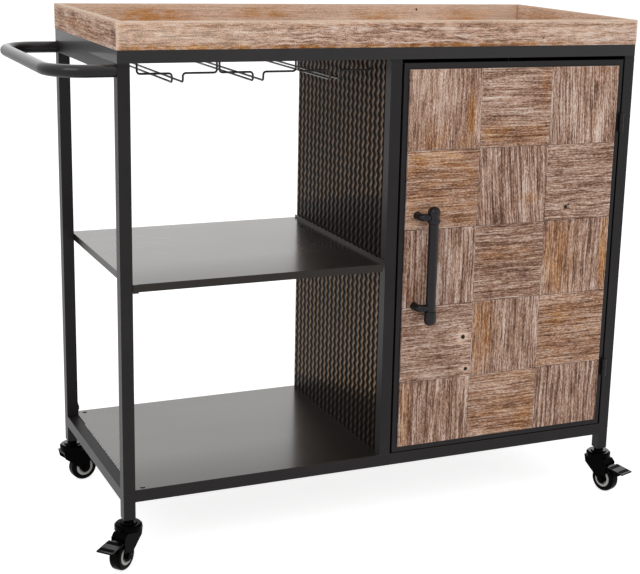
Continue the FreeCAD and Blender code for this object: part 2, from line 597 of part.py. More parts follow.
# Barrel hinges in front of the gap beside the right leg: lower half on the leg, upper on the door.
hinge_x = f"({door_right} + hinge_gap / 2)"
hinge_y = f"({front} - sqrt((hinge_radius + run_gap) ^ 2 - (hinge_gap / 2) ^ 2))"
hinge_heights = {"lower": f"({door_low} + hinge_inset)", "upper": f"({door_high} - hinge_inset)"}
leg_knuckles, door_knuckles, hinge_pins = [], [], []
for name, z in hinge_heights.items():
    low = f"({z} - hinge_half)"
    barrel = rod(f"{name}_leg_barrel", "hinge_radius", "hinge_half", (hinge_x, hinge_y, low))
    bore = rod(f"{name}_leg_bore", "hinge_pin + pin_gap", "hinge_half", (hinge_x, hinge_y, low))
    leg_knuckles.append(cut(f"{name}_leg_knuckle", barrel, [bore]))
    barrel = rod(f"{name}_door_barrel", "hinge_radius", "hinge_half - run_gap",
                 (hinge_x, hinge_y, f"{z} + run_gap"))
    bore = rod(f"{name}_door_bore", "hinge_pin + pin_gap", "hinge_half",
               (hinge_x, hinge_y, f"{z} - run_gap"))
    door_knuckles.append(cut(f"{name}_door_knuckle", barrel, [bore]))
    hinge_pins.append(rod(f"{name}_hinge_pin", "hinge_pin", "hinge_half * 2 - 2 * run_gap",
                          (hinge_x, hinge_y, low)))
group("hinge_leg_knuckles", leg_knuckles)
group("hinge_door_knuckles", door_knuckles)
group("hinge_pins", hinge_pins)

# Magnet catch on the divider behind the door, and the strike plate it holds.
catch_x = (f"{post_right} + run_gap", f"{post_right} + run_gap + catch_width")
catch_z = ("shelf_height + shelf_drop + catch_height", "shelf_height + shelf_drop + 2 * catch_height")
door_face = f"({front} + door_depth)"
catch_nose = f"({door_face} + strike_thick + run_gap)"
node(fuse("magnet_catch", [
    box("catch_block", catch_x, (catch_nose, f"{catch_nose} + catch_depth"), catch_z),
    box("catch_foot", (f"{panel_x} + sheet / 2", catch_x[1]),
        (f"{front} + tube + run_gap", f"{catch_nose} + catch_depth"), catch_z)]), "magnet_catch")
node(box("strike_plate", (f"{door_left} + door_wall", f"{door_left} + door_strip"),
         (door_face, f"{door_face} + strike_thick"), catch_z), "strike_plate")

# Door pull: an upright bar between a tee and a capped collar, on two elbows that stand on the tiles.
pull_x = f"({door_left} + pull_inset)"
pull_y = f"({front} - tile_proud - pull_standoff)"
pull_low, pull_high = "(pull_centre - pull_spacing / 2)", "(pull_centre + pull_spacing / 2)"
bar_low = f"({pull_low} - pull_arm - pull_collar)"
bar_length = f"{pull_high} - pull_tee - {bar_low}"
node(rod("pull_bar", "pull_bar", bar_length, (pull_x, pull_y, bar_low)), "pull_bar")


def domed_cap(name, start, length, way):
    """A turned cap with a rounded end, pointing up or down."""
    straight = rod(name + "_straight", "pull_cap", f"{length} - pull_dome",
                   (pull_x, pull_y, start), way + "z")
    dome = doc.addObject("Part::Ellipsoid", name + "_dome")
    for prop, text in (("Radius1", "pull_dome"), ("Radius2", "pull_cap"), ("Radius3", "pull_cap")):
        bind(dome, prop, text)
    place(dome, pull_x, pull_y, f"{start} + {way}1 * ({length} - pull_dome)")
    node(fuse(name, [straight, dome]), name)


domed_cap("pull_cap_upper", f"{pull_high} - pull_tee", "(pull_tee + pull_crown)", "")
domed_cap("pull_cap_lower", bar_low, "(pull_foot - pull_arm - pull_collar)", "-")


def pull_arm(height, socket):
    """An elbow out of a round flange on the tile and along to the bar's socket."""
    face = -size("frame_depth") / 2 - size("tile_proud")
    edge = -size("frame_width") / 2 + size("post_offset") + size("tube") + size("latch_gap")
    root, bar = edge + size("pull_root"), edge + size("pull_inset")
    out = face - size("pull_standoff")
    points = [FreeCAD.Vector(root, face, height), FreeCAD.Vector(root, out, height),
              FreeCAD.Vector(bar, out, height)]
    arm = bent_rod(points, size("pull_arm"), size("pull_bend"))
    flange = Part.makeCylinder(size("flange_radius"), size("flange_thick"), points[0], -axes["y"])
    collar = Part.makeCylinder(socket, 4 * size("pull_tee"),
                               FreeCAD.Vector(bar, out, height - 2 * size("pull_tee")))
    return arm.fuse(flange).cut(collar).removeSplitter()


arms = []
for name, sign, socket in (("lower", -1, size("pull_bar")), ("upper", 1, size("pull_cap"))):
    arm = doc.addObject("Part::Feature", f"pull_arm_{name}")
    arm.Shape = pull_arm(size("pull_centre") + sign * size("pull_spacing") / 2, socket)
    arm.Placement = FreeCAD.Placement()
    arms.append(arm)
group("pull_arms", arms)

# Casters: heights up the swivel axis.
head_high = "(caster_height - stem_nut - stem_washer - run_gap)"
head_low = f"({head_high} - head_height)"
crown_low = "(2 * wheel_radius + crown_gap)"
slot_half = "(tread_width / 2 + fork_side_gap)"
fork_half = f"({slot_half} + fork_plate)"
corners = {f"{row}_{column}": (leg_columns[column], leg_rows[row])
           for row in ("front", "back") for column in ("left", "right")}

# Threaded inserts in the leg ends, and the stems that screw into them.
inserts, stems = [], []
for name, (x, y) in corners.items():
    plug = box(f"insert_block_{name}", (f"{x} - {plug_half}", f"{x} + {plug_half}"),
               (f"{y} - {plug_half}", f"{y} + {plug_half}"),
               ("caster_height + insert_lip", "caster_height + insert_length"))
    thread = rod(f"insert_bore_{name}", "kingpin + pin_gap", "insert_length * 2",
                 (x, y, "caster_height - insert_length / 2"))
    inserts.append(cut(f"insert_{name}", plug, [thread]))
    stem = new_body(f"stem_{name}")
    profile = [("0", f"{crown_low} - run_gap - rivet_thick"),
               ("kingpin_rivet", f"{crown_low} - run_gap - rivet_thick"),
               ("kingpin_rivet", f"{crown_low} - run_gap"), ("kingpin", f"{crown_low} - run_gap"),
               ("kingpin", f"{head_high} + run_gap"), ("washer_radius", f"{head_high} + run_gap"),
               ("washer_radius", f"{head_high} + run_gap + stem_washer"),
               ("nut_radius", f"{head_high} + run_gap + stem_washer"), ("nut_radius", "caster_height"),
               ("kingpin", "caster_height"), ("kingpin", "caster_height + stem_length"),
               ("0", "caster_height + stem_length")]
    revolve(stem, outline(stem, "XZ_Plane", profile))
    place(stem, x, y, "0")
    stems.append(stem)
group("leg_inserts", inserts)
group("caster_stems", stems)


def at_caster(item, name, reach="0", height="0"):
    """Stand a piece on its swivel axis, turned to the caster's yaw, 'reach' along its trail."""
    x, y = corners[name]
    yaw = f"{name}_yaw"
    item.Placement = FreeCAD.Placement(FreeCAD.Vector(), FreeCAD.Rotation(axes["z"], size(yaw)))
    bind(item, "Placement.Rotation.Angle", yaw)
    place(item, f"{x} + ({reach}) * cos({yaw} * 1 deg)", f"{y} + ({reach}) * sin({yaw} * 1 deg)", height)


pivot_z = "(2 * wheel_radius + pivot_rise)"


def caster_fork(name):
    """Two tapered cheeks under a crown and a round head that turns on the kingpin."""
    fork = new_body(f"{name}_fork")
    cheek = outline(fork, "XZ_Plane", [
        ("-head_radius", head_low), ("-head_radius * cheek_taper", f"{crown_low} - fork_boss"),
        ("trail - fork_boss", "wheel_radius"), ("trail + fork_boss", "wheel_radius"),
        ("pivot_x + ear", f"{pivot_z} - ear"), ("pivot_x + ear", f"{pivot_z} + ear / 2"),
        ("head_radius", head_low)])
    pad(fork, cheek, f"2 * {fork_half}", True)
    pad(fork, disc(fork, "XZ_Plane", ("trail", "wheel_radius"), "fork_boss"), f"2 * {fork_half}", True)
    slot = outline(fork, "XZ_Plane", [
        ("-head_radius * 2", "0"), ("head_radius * 3", "0"),
        ("head_radius * 3", crown_low), ("-head_radius * 2", crown_low)])
    pad(fork, slot, f"2 * {slot_half}", True, "PartDesign::Pocket")
    head = outline(fork, "XZ_Plane", [
        ("0", head_low), ("head_radius", head_low), ("head_radius", f"{head_high} - head_bevel"),
        ("head_radius - head_bevel", head_high), ("0", head_high)])
    revolve(fork, head)
    bore = disc(fork, "XY_Plane", ("0", "0"), "kingpin + pin_gap")
    pad(fork, bore, "caster_height * 2", True, "PartDesign::Pocket")
    axle_hole = disc(fork, "XZ_Plane", ("trail", "wheel_radius"), "axle_radius + pin_gap")
    pad(fork, axle_hole, f"4 * {fork_half}", True, "PartDesign::Pocket")
    if name.startswith("front"):
        pivot_hole = disc(fork, "XZ_Plane", ("pivot_x", pivot_z), "pivot_pin + pin_gap")
        pad(fork, pivot_hole, f"4 * {fork_half}", True, "PartDesign::Pocket")
    at_caster(fork, name)
    node(fork, f"{name}_fork")


def caster_axle(name):
    """A bolt through the cheeks and the hub, with a head and a nut."""
    axle = new_body(f"{name}_axle")
    end = f"({fork_half} + axle_head)"
    revolve(axle, outline(axle, "XY_Plane", [
        ("0", f"-{end}"), ("axle_head_radius", f"-{end}"), ("axle_head_radius", f"-{fork_half}"),
        ("axle_radius", f"-{fork_half}"), ("axle_radius", fork_half), ("axle_head_radius", fork_half),
        ("axle_head_radius", end), ("0", end)]))
    at_caster(axle, name, "trail", "wheel_radius")
    node(axle, f"{name}_axle")


def caster_wheel(name):
    """A moulded hub with a raised boss, and the tyre round it."""
    hub = new_body(f"{name}_hub")
    boss, rim = f"({slot_half} - run_gap)", "(tread_width / 2)"
    revolve(hub, outline(hub, "XY_Plane", [
        ("axle_radius + pin_gap", f"-{boss}"), ("axle_head_radius", f"-{boss}"),
        ("axle_head_radius", f"-{rim} * hub_web"), ("hub_radius * hub_rim", f"-{rim} * hub_web"),
        ("hub_radius * hub_rim", f"-{rim}"), ("hub_radius", f"-{rim}"), ("hub_radius", rim),
        ("hub_radius * hub_rim", rim), ("hub_radius * hub_rim", f"{rim} * hub_web"),
        ("axle_head_radius", f"{rim} * hub_web"), ("axle_head_radius", boss),
        ("axle_radius + pin_gap", boss)]))
    at_caster(hub, name, "trail", "wheel_radius")
    node(hub, f"{name}_hub")
    tyre = new_body(f"{name}_tyre")
    shoulder = "((wheel_radius - hub_radius) * tyre_bevel)"
    revolve(tyre, outline(tyre, "XY_Plane", [
        ("hub_radius", f"-{rim}"), (f"wheel_radius - {shoulder}", f"-{rim}"),
        ("wheel_radius", f"-{rim} + {shoulder}"), ("wheel_radius", f"{rim} - {shoulder}"),
        (f"wheel_radius - {shoulder}", rim), ("hub_radius", rim)]))
    at_caster(tyre, name, "trail", "wheel_radius")
    node(tyre, f"{name}_tyre")


def brake_pedal(name):
    """A bent foot plate on a cross pin, with a claw that reaches down towards the tread."""
    pedal = new_body(f"{name}_pedal")
    slope = "(pedal_slope / (pedal_reach - pivot_x))"
    top = f"({pivot_z} + pedal_thick / 2)"

    def on_plate(x):
        return f"({top} - ({x} - pivot_x) * {slope})"

    def strip(start, end):
        return [(start, f"{on_plate(start)} - pedal_thick"), (end, f"{on_plate(end)} - pedal_thick"),
                (end, on_plate(end)), (start, on_plate(start))]

    barrel = disc(pedal, "XZ_Plane", ("pivot_x", pivot_z), "pivot_barrel")
    pad(pedal, barrel, f"2 * ({slot_half} - run_gap)", True)
    pad(pedal, outline(pedal, "XZ_Plane", strip("pivot_x", "plate_start")), "pedal_arm", True)
    pad(pedal, outline(pedal, "XZ_Plane", strip("plate_start", "pedal_reach")), "pedal_width", True)
    claw_low = f"({pivot_z} - claw_depth)"
    pad(pedal, outline(pedal, "XZ_Plane", [
        ("claw_start", f"{on_plate('claw_start')} - pedal_thick / 2"), ("claw_tip", claw_low),
        ("claw_tip + pedal_thick", claw_low),
        ("claw_start + pedal_thick", f"{on_plate('claw_start')} - pedal_thick / 2")]), "claw_width", True)
    pin = disc(pedal, "XZ_Plane", ("pivot_x", pivot_z), "pivot_pin")
    pad(pedal, pin, f"2 * {fork_half}", True)
    at_caster(pedal, name)
    node(pedal, f"{name}_pedal")


for name in corners:
    caster_fork(name)
    caster_axle(name)
    caster_wheel(name)
    if name.startswith("front"):
        brake_pedal(name)

doc.recompute()
for item in doc.Objects:
    if "Invalid" in item.State or "Error" in item.State:
        raise RuntimeError(f"{item.Name} did not build: {item.State}")
os.makedirs("parts", exist_ok=True)
for item in nodes:
    if item.Shape.isNull() or not item.Shape.isValid():
        raise RuntimeError(f"{item.Label} has no valid shape")
for item in nodes:
    item.Shape.exportStep(f"parts/{item.Label}.step")
print(len(nodes), "sub-parts written")
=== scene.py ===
import json
import math
import bmesh
import bpy
from mathutils import Matrix, Vector, noise

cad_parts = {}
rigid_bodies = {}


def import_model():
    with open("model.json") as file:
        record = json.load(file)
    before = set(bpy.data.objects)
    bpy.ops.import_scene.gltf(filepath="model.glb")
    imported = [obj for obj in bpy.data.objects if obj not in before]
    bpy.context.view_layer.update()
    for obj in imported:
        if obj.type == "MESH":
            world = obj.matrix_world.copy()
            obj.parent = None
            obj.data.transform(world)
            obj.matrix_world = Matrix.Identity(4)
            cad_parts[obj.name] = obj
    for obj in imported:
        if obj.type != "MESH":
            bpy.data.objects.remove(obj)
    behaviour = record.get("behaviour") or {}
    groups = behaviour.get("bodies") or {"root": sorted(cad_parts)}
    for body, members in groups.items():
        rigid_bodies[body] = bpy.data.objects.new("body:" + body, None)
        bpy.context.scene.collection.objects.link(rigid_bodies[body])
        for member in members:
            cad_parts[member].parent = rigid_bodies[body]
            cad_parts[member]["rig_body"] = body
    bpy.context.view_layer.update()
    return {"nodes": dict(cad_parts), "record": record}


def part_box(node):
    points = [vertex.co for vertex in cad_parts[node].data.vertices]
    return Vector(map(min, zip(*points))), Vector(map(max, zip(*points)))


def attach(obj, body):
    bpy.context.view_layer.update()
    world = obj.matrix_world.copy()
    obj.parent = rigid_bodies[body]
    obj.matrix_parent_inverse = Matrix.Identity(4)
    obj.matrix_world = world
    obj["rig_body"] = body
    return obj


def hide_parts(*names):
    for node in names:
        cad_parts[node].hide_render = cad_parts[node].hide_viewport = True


# Looks of the rolling bar cart. Metres, +Z up, front towards -Y, push handle towards -X.
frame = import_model()
mm = 0.001
weld = 0.002 * mm  # points nearer than this are one
touch = 1e-7  # a point this near a board's end lies on it
slotOf = {row["node"]: row["material_slot"] for row in frame["record"]["subparts"]}
corners = ["front_left", "front_right", "back_left", "back_right"]


def linear(hexText):
    # sRGB hex to the linear colour that shaders take
    parts = [int(hexText[i:i + 2], 16) / 255 for i in (1, 3, 5)]
    return [c / 12.92 if c <= 0.04045 else ((c + 0.055) / 1.055) ** 2.4 for c in parts] + [1.0]


def addNode(tree, kind, inputs=None, stops=None, **settings):
    node = tree.nodes.new("ShaderNode" + kind)
    for name, value in settings.items():
        setattr(node, name, value)
    for name, value in (inputs or {}).items():
        if isinstance(value, bpy.types.NodeSocket):
            tree.links.new(value, node.inputs[name])
        else:
            node.inputs[name].default_value = value
    for index, (place, hexText) in enumerate(stops or []):
        ramp = node.color_ramp.elements
        stop = ramp[index] if index < 2 else ramp.new(place)
        stop.position = place
        stop.color = linear(hexText)
    return node


def newMaterial(name):
    material = bpy.data.materials.new(name)
    material.use_nodes = True
    tree = material.node_tree
    tree.nodes.clear()
    shader = addNode(tree, "BsdfPrincipled")
    addNode(tree, "OutputMaterial", {"Surface": shader.outputs["BSDF"]})
    return material, tree, shader


# powder-coated mild steel: baked on, so a soft dark sheen over a fine orange peel
powderLook = {"cloud": 90, "bump": 0.18, "relief": 0.3, "polishRoughness": 0.1}


def powderCoat(name, dark, pale, roughness, gloss, peel=2.2, handled=False):
    material, tree, shader = newMaterial(name)
    place = addNode(tree, "TexCoord").outputs["Object"]
    cloud = addNode(tree, "TexNoise", {"Vector": place, "Scale": 1 / (powderLook["cloud"] * mm),
                                       "Detail": 3.0})
    colour = addNode(tree, "ValToRGB", {"Fac": cloud.outputs["Fac"]}, [(0.35, dark), (0.7, pale)])
    grit = addNode(tree, "TexNoise", {"Vector": place, "Scale": 1 / (peel * mm), "Detail": 2.0})
    sheen = addNode(tree, "MapRange", {"Value": grit.outputs["Fac"], "To Min": roughness - 0.06,
                                       "To Max": roughness + 0.08})
    bump = addNode(tree, "Bump", {"Height": grit.outputs["Fac"], "Strength": powderLook["bump"],
                                  "Distance": powderLook["relief"] * mm})
    tree.links.new(colour.outputs["Color"], shader.inputs["Base Color"])
    tree.links.new(sheen.outputs["Result"], shader.inputs["Roughness"])
    tree.links.new(bump.outputs["Normal"], shader.inputs["Normal"])
    shader.inputs["Specular IOR Level"].default_value = gloss
    if handled:
        polish = addNode(tree, "Attribute", attribute_name="polish")  # where hands have rubbed it smooth
        tree.links.new(polish.outputs["Fac"], shader.inputs["Coat Weight"])
        shader.inputs["Coat Roughness"].default_value = powderLook["polishRoughness"]
    return material


# twice-lacquered sheet: its flat faces mirror the room at a low angle, its folds stay dull and dark;
# goods slid over the front edge have dulled the lacquer there
shelfLook = {"roll": (420, 110, 40), "frontEdge": -200, "wornTo": -70, "frontCoat": 0.66, "streakCoat": 0.88}


def shelfLacquer(name):
    material, tree, shader = newMaterial(name)
    place = addNode(tree, "TexCoord").outputs["Object"]
    flat = addNode(tree, "Attribute", attribute_name="flat")
    roll = addNode(tree, "Mapping", {"Vector": place,
                                     "Scale": tuple(1 / (length * mm) for length in shelfLook["roll"])})
    cloud = addNode(tree, "TexNoise", {"Vector": roll.outputs["Vector"], "Scale": 1.0, "Detail": 3.0})
    colour = addNode(tree, "ValToRGB", {"Fac": cloud.outputs["Fac"]}, [(0.3, "#151211"), (0.7, "#1e1b19")])
    sheen = addNode(tree, "MapRange", {"Value": cloud.outputs["Fac"], "To Min": 0.3, "To Max": 0.42})
    tree.links.new(colour.outputs["Color"], shader.inputs["Base Color"])
    tree.links.new(sheen.outputs["Result"], shader.inputs["Roughness"])
    axis = addNode(tree, "SeparateXYZ", {"Vector": place})
    worn = addNode(tree, "MapRange", {"Value": axis.outputs["Y"], "From Min": shelfLook["frontEdge"] * mm,
                                      "From Max": shelfLook["wornTo"] * mm,
                                      "To Min": shelfLook["frontCoat"], "To Max": 1.0})
    streak = addNode(tree, "MapRange", {"Value": cloud.outputs["Fac"], "From Min": 0.35, "From Max": 0.65,
                                        "To Min": shelfLook["streakCoat"], "To Max": 1.0})
    dulled = addNode(tree, "Math", {0: streak.outputs["Result"], 1: worn.outputs["Result"]},
                     operation="MULTIPLY")
    coat = addNode(tree, "Math", {0: flat.outputs["Fac"], 1: dulled.outputs[0]}, operation="MULTIPLY")
    tree.links.new(coat.outputs[0], shader.inputs["Coat Weight"])
    shader.inputs["Coat Roughness"].default_value = 0.18
    shader.inputs["Specular IOR Level"].default_value = 0.3
    shader.inputs["Specular Tint"].default_value = linear("#fff4ea")
    shader.inputs["Coat IOR"].default_value = 2.4
    shader.inputs["Coat Tint"].default_value = linear("#fff8f0")
    return material


# embossed sheet under bronze-black lacquer, near black; the pale colour along the crests is a painted
# highlight, mottled at random
def bronzeLacquer(name):
    material, tree, shader = newMaterial(name)
    place = addNode(tree, "TexCoord").outputs["Object"]
    crestLightAndShade = addNode(tree, "Attribute", attribute_name="crestLightAndShade")
    spots = addNode(tree, "TexNoise", {"Vector": place, "Scale": 1 / (6 * mm), "Detail": 3.0})
    worn = addNode(tree, "Math", {0: spots.outputs["Fac"], 1: 0.3, 2: -0.15}, operation="MULTIPLY_ADD")
    lift = addNode(tree, "Math", {0: crestLightAndShade.outputs["Fac"], 1: worn.outputs[0]}, operation="ADD",
                   use_clamp=True)
    # painted highlight: near black in the hollows, up to pale bronze where the crest mask is highest
    colour = addNode(tree, "ValToRGB", {"Fac": lift.outputs[0]},
                     [(0.5, "#0f0905"), (1.0, "#a5876c"), (0.78, "#3b2b1f"), (0.9, "#876a53")])
    sheen = addNode(tree, "MapRange", {"Value": spots.outputs["Fac"], "To Min": 0.26, "To Max": 0.4})
    tree.links.new(colour.outputs["Color"], shader.inputs["Base Color"])
    tree.links.new(sheen.outputs["Result"], shader.inputs["Roughness"])
    shader.inputs["Specular IOR Level"].default_value = 0.06
    shader.inputs["Specular Tint"].default_value = linear("#f0cfae")
    return material


# wire-brushed reclaimed fir: hard late wood stands up as dark lines, whitewash stays in the soft wood;
# lengths along and across the grain in millimetres, then how strongly each layer shows
firLook = {"drift": (90, 30), "sway": 7.0, "ringRun": 160, "ringWidths": (2.4, 6.5), "ringShares": (0.6, 1.9),
           "fine": (28, 1.8), "fineShare": 0.9, "pores": (5, 1.6), "poreShare": 1.0,
           "broad": (80, 26), "broadShare": 0.5, "patch": (40, 9), "relief": 0.9}
# colours from the dark late wood to the pale early wood
firColours = {
    "bare": [(0.0, "#4f3a31"), (1.0, "#e6d2c8"), (0.25, "#7f6153"), (0.5, "#a38170"), (0.75, "#c7a899")],
    "stained": [(0.0, "#673d1e"), (1.0, "#e8bc8e"), (0.25, "#965e31"), (0.5, "#b87d49"), (0.75, "#d09c6b")],
    "washed": [(0.0, "#6c5043"), (1.0, "#fff2e6"), (0.25, "#b08873"), (0.5, "#e2b8a0"), (0.75, "#f8d9c8")],
}


def grainScale(lengths, board):
    return (1 / lengths[0], 1 / lengths[1], board)


def brushedFir(name):
    material, tree, shader = newMaterial(name)
    grain = addNode(tree, "Attribute", attribute_name="grainPlace")  # along, across, board; millimetres
    tone = addNode(tree, "Attribute", attribute_name="boardTone")
    axis = addNode(tree, "SeparateXYZ", {"Vector": grain.outputs["Vector"]})
    share = addNode(tree, "SeparateColor", {"Color": tone.outputs["Color"]})  # warmth, whitewash, knot
    drift = addNode(tree, "Mapping", {"Vector": grain.outputs["Vector"],
                                      "Scale": grainScale(firLook["drift"], 1)})
    sway = addNode(tree, "TexNoise", {"Vector": drift.outputs["Vector"], "Scale": 1.0, "Detail": 2.0})
    bend = addNode(tree, "Math", {0: sway.outputs["Fac"], 1: firLook["sway"], 2: axis.outputs["Y"]},
                   operation="MULTIPLY_ADD")
    wavy = addNode(tree, "CombineXYZ", {"X": axis.outputs["X"], "Y": bend.outputs[0], "Z": axis.outputs["Z"]})
    narrow, wide = firLook["ringWidths"]
    rate = addNode(tree, "MapRange", {"Value": tone.outputs["Alpha"], "To Min": 1 / narrow,
                                      "To Max": 1 / wide})
    ringScale = addNode(tree, "CombineXYZ", {"X": 1 / firLook["ringRun"], "Y": rate.outputs["Result"],
                                             "Z": 1.0})
    ringPlace = addNode(tree, "VectorMath", {0: wavy.outputs["Vector"], 1: ringScale.outputs["Vector"]},
                        operation="MULTIPLY")
    rings = addNode(tree, "TexNoise", {"Vector": ringPlace.outputs["Vector"], "Scale": 1.0, "Detail": 2.0})
    layers = {"rings": rings}
    for label, vector, board in (("fine", wavy, 1), ("pores", wavy, 3), ("broad", grain, 2)):
        scaled = addNode(tree, "Mapping", {"Vector": vector.outputs["Vector"],
                                           "Scale": grainScale(firLook[label], board)})
        layers[label] = addNode(tree, "TexNoise", {"Vector": scaled.outputs["Vector"], "Scale": 1.0,
                                                   "Detail": 2.0})
    weak, strong = firLook["ringShares"]
    banded = addNode(tree, "MapRange", {"Value": tone.outputs["Alpha"], "To Min": weak, "To Max": strong})
    whole = 0.5
    for label, weight in (("rings", banded.outputs["Result"]), ("fine", firLook["fineShare"]),
                          ("pores", firLook["poreShare"]), ("broad", firLook["broadShare"])):
        level = addNode(tree, "Math", {0: layers[label].outputs["Fac"], 1: 0.5}, operation="SUBTRACT")
        whole = addNode(tree, "Math", {0: level.outputs[0], 1: weight, 2: whole},
                        operation="MULTIPLY_ADD").outputs[0]
    lines = addNode(tree, "MapRange", {"Value": whole, "From Min": 0.19, "From Max": 0.81})
    bare, stained, washed = (addNode(tree, "ValToRGB", {"Fac": lines.outputs["Result"]}, stops)
                             for stops in firColours.values())
    patch = addNode(tree, "Mapping", {"Vector": grain.outputs["Vector"],
                                      "Scale": grainScale(firLook["patch"], 1)})
    patches = addNode(tree, "TexNoise", {"Vector": patch.outputs["Vector"], "Scale": 1.0, "Detail": 3.0})
    uneven = addNode(tree, "MapRange", {"Value": patches.outputs["Fac"], "From Min": 0.3, "From Max": 0.7,
                                        "To Min": 0.35, "To Max": 1.45})
    warm = addNode(tree, "Math", {0: share.outputs["Red"], 1: uneven.outputs["Result"]},
                   operation="MULTIPLY", use_clamp=True)
    bareOf = addNode(tree, "Math", {0: 1.0, 1: warm.outputs[0]}, operation="SUBTRACT")
    spread = addNode(tree, "Math", {0: uneven.outputs["Result"], 1: bareOf.outputs[0]}, operation="MULTIPLY")
    pale = addNode(tree, "Math", {0: share.outputs["Green"], 1: spread.outputs[0]},
                   operation="MULTIPLY", use_clamp=True)
    warmed = addNode(tree, "Mix", {"Factor": warm.outputs[0], "A": bare.outputs["Color"],
                                   "B": stained.outputs["Color"]}, data_type="RGBA")
    whitened = addNode(tree, "Mix", {"Factor": pale.outputs[0], "A": warmed.outputs["Result"],
                                     "B": washed.outputs["Color"]}, data_type="RGBA")
    # where the whitewash share passes 1 the colour goes on towards cream, or honey in warm patches: rubbed
    # pale arrises, and on the tray's back and right walls painted light lifting their shaded inner faces
    worn = addNode(tree, "MapRange", {"Value": share.outputs["Green"], "From Min": 1.0, "From Max": 1.6,
                                      "To Max": 0.8})
    paleLiftTone = addNode(tree, "Mix", {"Factor": warm.outputs[0], "A": linear("#ffe6cf"),
                                  "B": linear("#f6b877")}, data_type="RGBA")
    rubbed = addNode(tree, "Mix", {"Factor": worn.outputs["Result"], "A": whitened.outputs["Result"],
                                   "B": paleLiftTone.outputs["Result"]}, data_type="RGBA")
    heart = addNode(tree, "MapRange", {"Value": share.outputs["Blue"], "From Min": 0.45, "From Max": 0.65})
    knotted = addNode(tree, "Mix", {"Factor": heart.outputs["Result"], "A": rubbed.outputs["Result"],
                                    "B": linear("#231812")}, data_type="RGBA")
    dull = addNode(tree, "MapRange", {"Value": lines.outputs["Result"], "To Min": 0.66, "To Max": 0.9})
    bump = addNode(tree, "Bump", {"Height": lines.outputs["Result"], "Strength": 0.6,
                                  "Distance": firLook["relief"] * mm})
    tree.links.new(knotted.outputs["Result"], shader.inputs["Base Color"])
    tree.links.new(dull.outputs["Result"], shader.inputs["Roughness"])
    tree.links.new(bump.outputs["Normal"], shader.inputs["Normal"])
    shader.inputs["Specular IOR Level"].default_value = 0.2
    return material


# moulded or coated solids whose surface is one colour with a grain: plastic, rubber, board, iron
def grained(name, dark, pale, grain, roughness, relief, gloss=0.5, metallic=0.0, lacquered=False,
            stretch=1.0):
    material, tree, shader = newMaterial(name)
    place = addNode(tree, "TexCoord").outputs["Object"]
    drawn = addNode(tree, "Mapping", {"Vector": place, "Scale": (1, 1, 1 / stretch)})
    grit = addNode(tree, "TexNoise", {"Vector": drawn.outputs["Vector"], "Scale": 1 / (grain * mm),
                                      "Detail": 3.0})
    colour = addNode(tree, "ValToRGB", {"Fac": grit.outputs["Fac"]}, [(0.3, dark), (0.7, pale)])
    sheen = addNode(tree, "MapRange", {"Value": grit.outputs["Fac"], "To Min": roughness - 0.08,
                                       "To Max": roughness + 0.08})
    bump = addNode(tree, "Bump", {"Height": grit.outputs["Fac"], "Strength": 0.3, "Distance": relief * mm})
    tree.links.new(colour.outputs["Color"], shader.inputs["Base Color"])
    tree.links.new(sheen.outputs["Result"], shader.inputs["Roughness"])
    tree.links.new(bump.outputs["Normal"], shader.inputs["Normal"])
    shader.inputs["Specular IOR Level"].default_value = gloss
    shader.inputs["Metallic"].default_value = metallic
    if lacquered:
        flat = addNode(tree, "Attribute", attribute_name="flat")  # level faces, which catch the light
        tree.links.new(flat.outputs["Fac"], shader.inputs["Coat Weight"])
        shader.inputs["Coat Roughness"].default_value = 0.15
    return material


# two-shot moulded hub: a pale ring round a dark web, which meet at this radius in millimetres
hubRing = (8.4, 8.9)


def hubPlastic(name):
    material, tree, shader = newMaterial(name)
    place = addNode(tree, "TexCoord").outputs["Object"]
    spoke = addNode(tree, "Attribute", attribute_name="fromAxle")  # millimetres across the wheel's face
    reach = addNode(tree, "VectorMath", {0: spoke.outputs["Vector"]}, operation="LENGTH")
    rim = addNode(tree, "MapRange", {"Value": reach.outputs["Value"], "From Min": hubRing[0],
                                     "From Max": hubRing[1]})
    grit = addNode(tree, "TexNoise", {"Vector": place, "Scale": 1 / (2.2 * mm), "Detail": 3.0})
    dark = addNode(tree, "ValToRGB", {"Fac": grit.outputs["Fac"]}, [(0.3, "#141313"), (0.7, "#221f1e")])
    pale = addNode(tree, "ValToRGB", {"Fac": grit.outputs["Fac"]}, [(0.3, "#b6b2ad"), (0.7, "#d0ccc7")])
    colour = addNode(tree, "Mix", {"Factor": rim.outputs["Result"], "A": dark.outputs["Color"],
                                   "B": pale.outputs["Color"]}, data_type="RGBA")
    sheen = addNode(tree, "MapRange", {"Value": grit.outputs["Fac"], "To Min": 0.34, "To Max": 0.5})
    tree.links.new(colour.outputs["Result"], shader.inputs["Base Color"])
    tree.links.new(sheen.outputs["Result"], shader.inputs["Roughness"])
    shader.inputs["Specular IOR Level"].default_value = 0.3
    return material


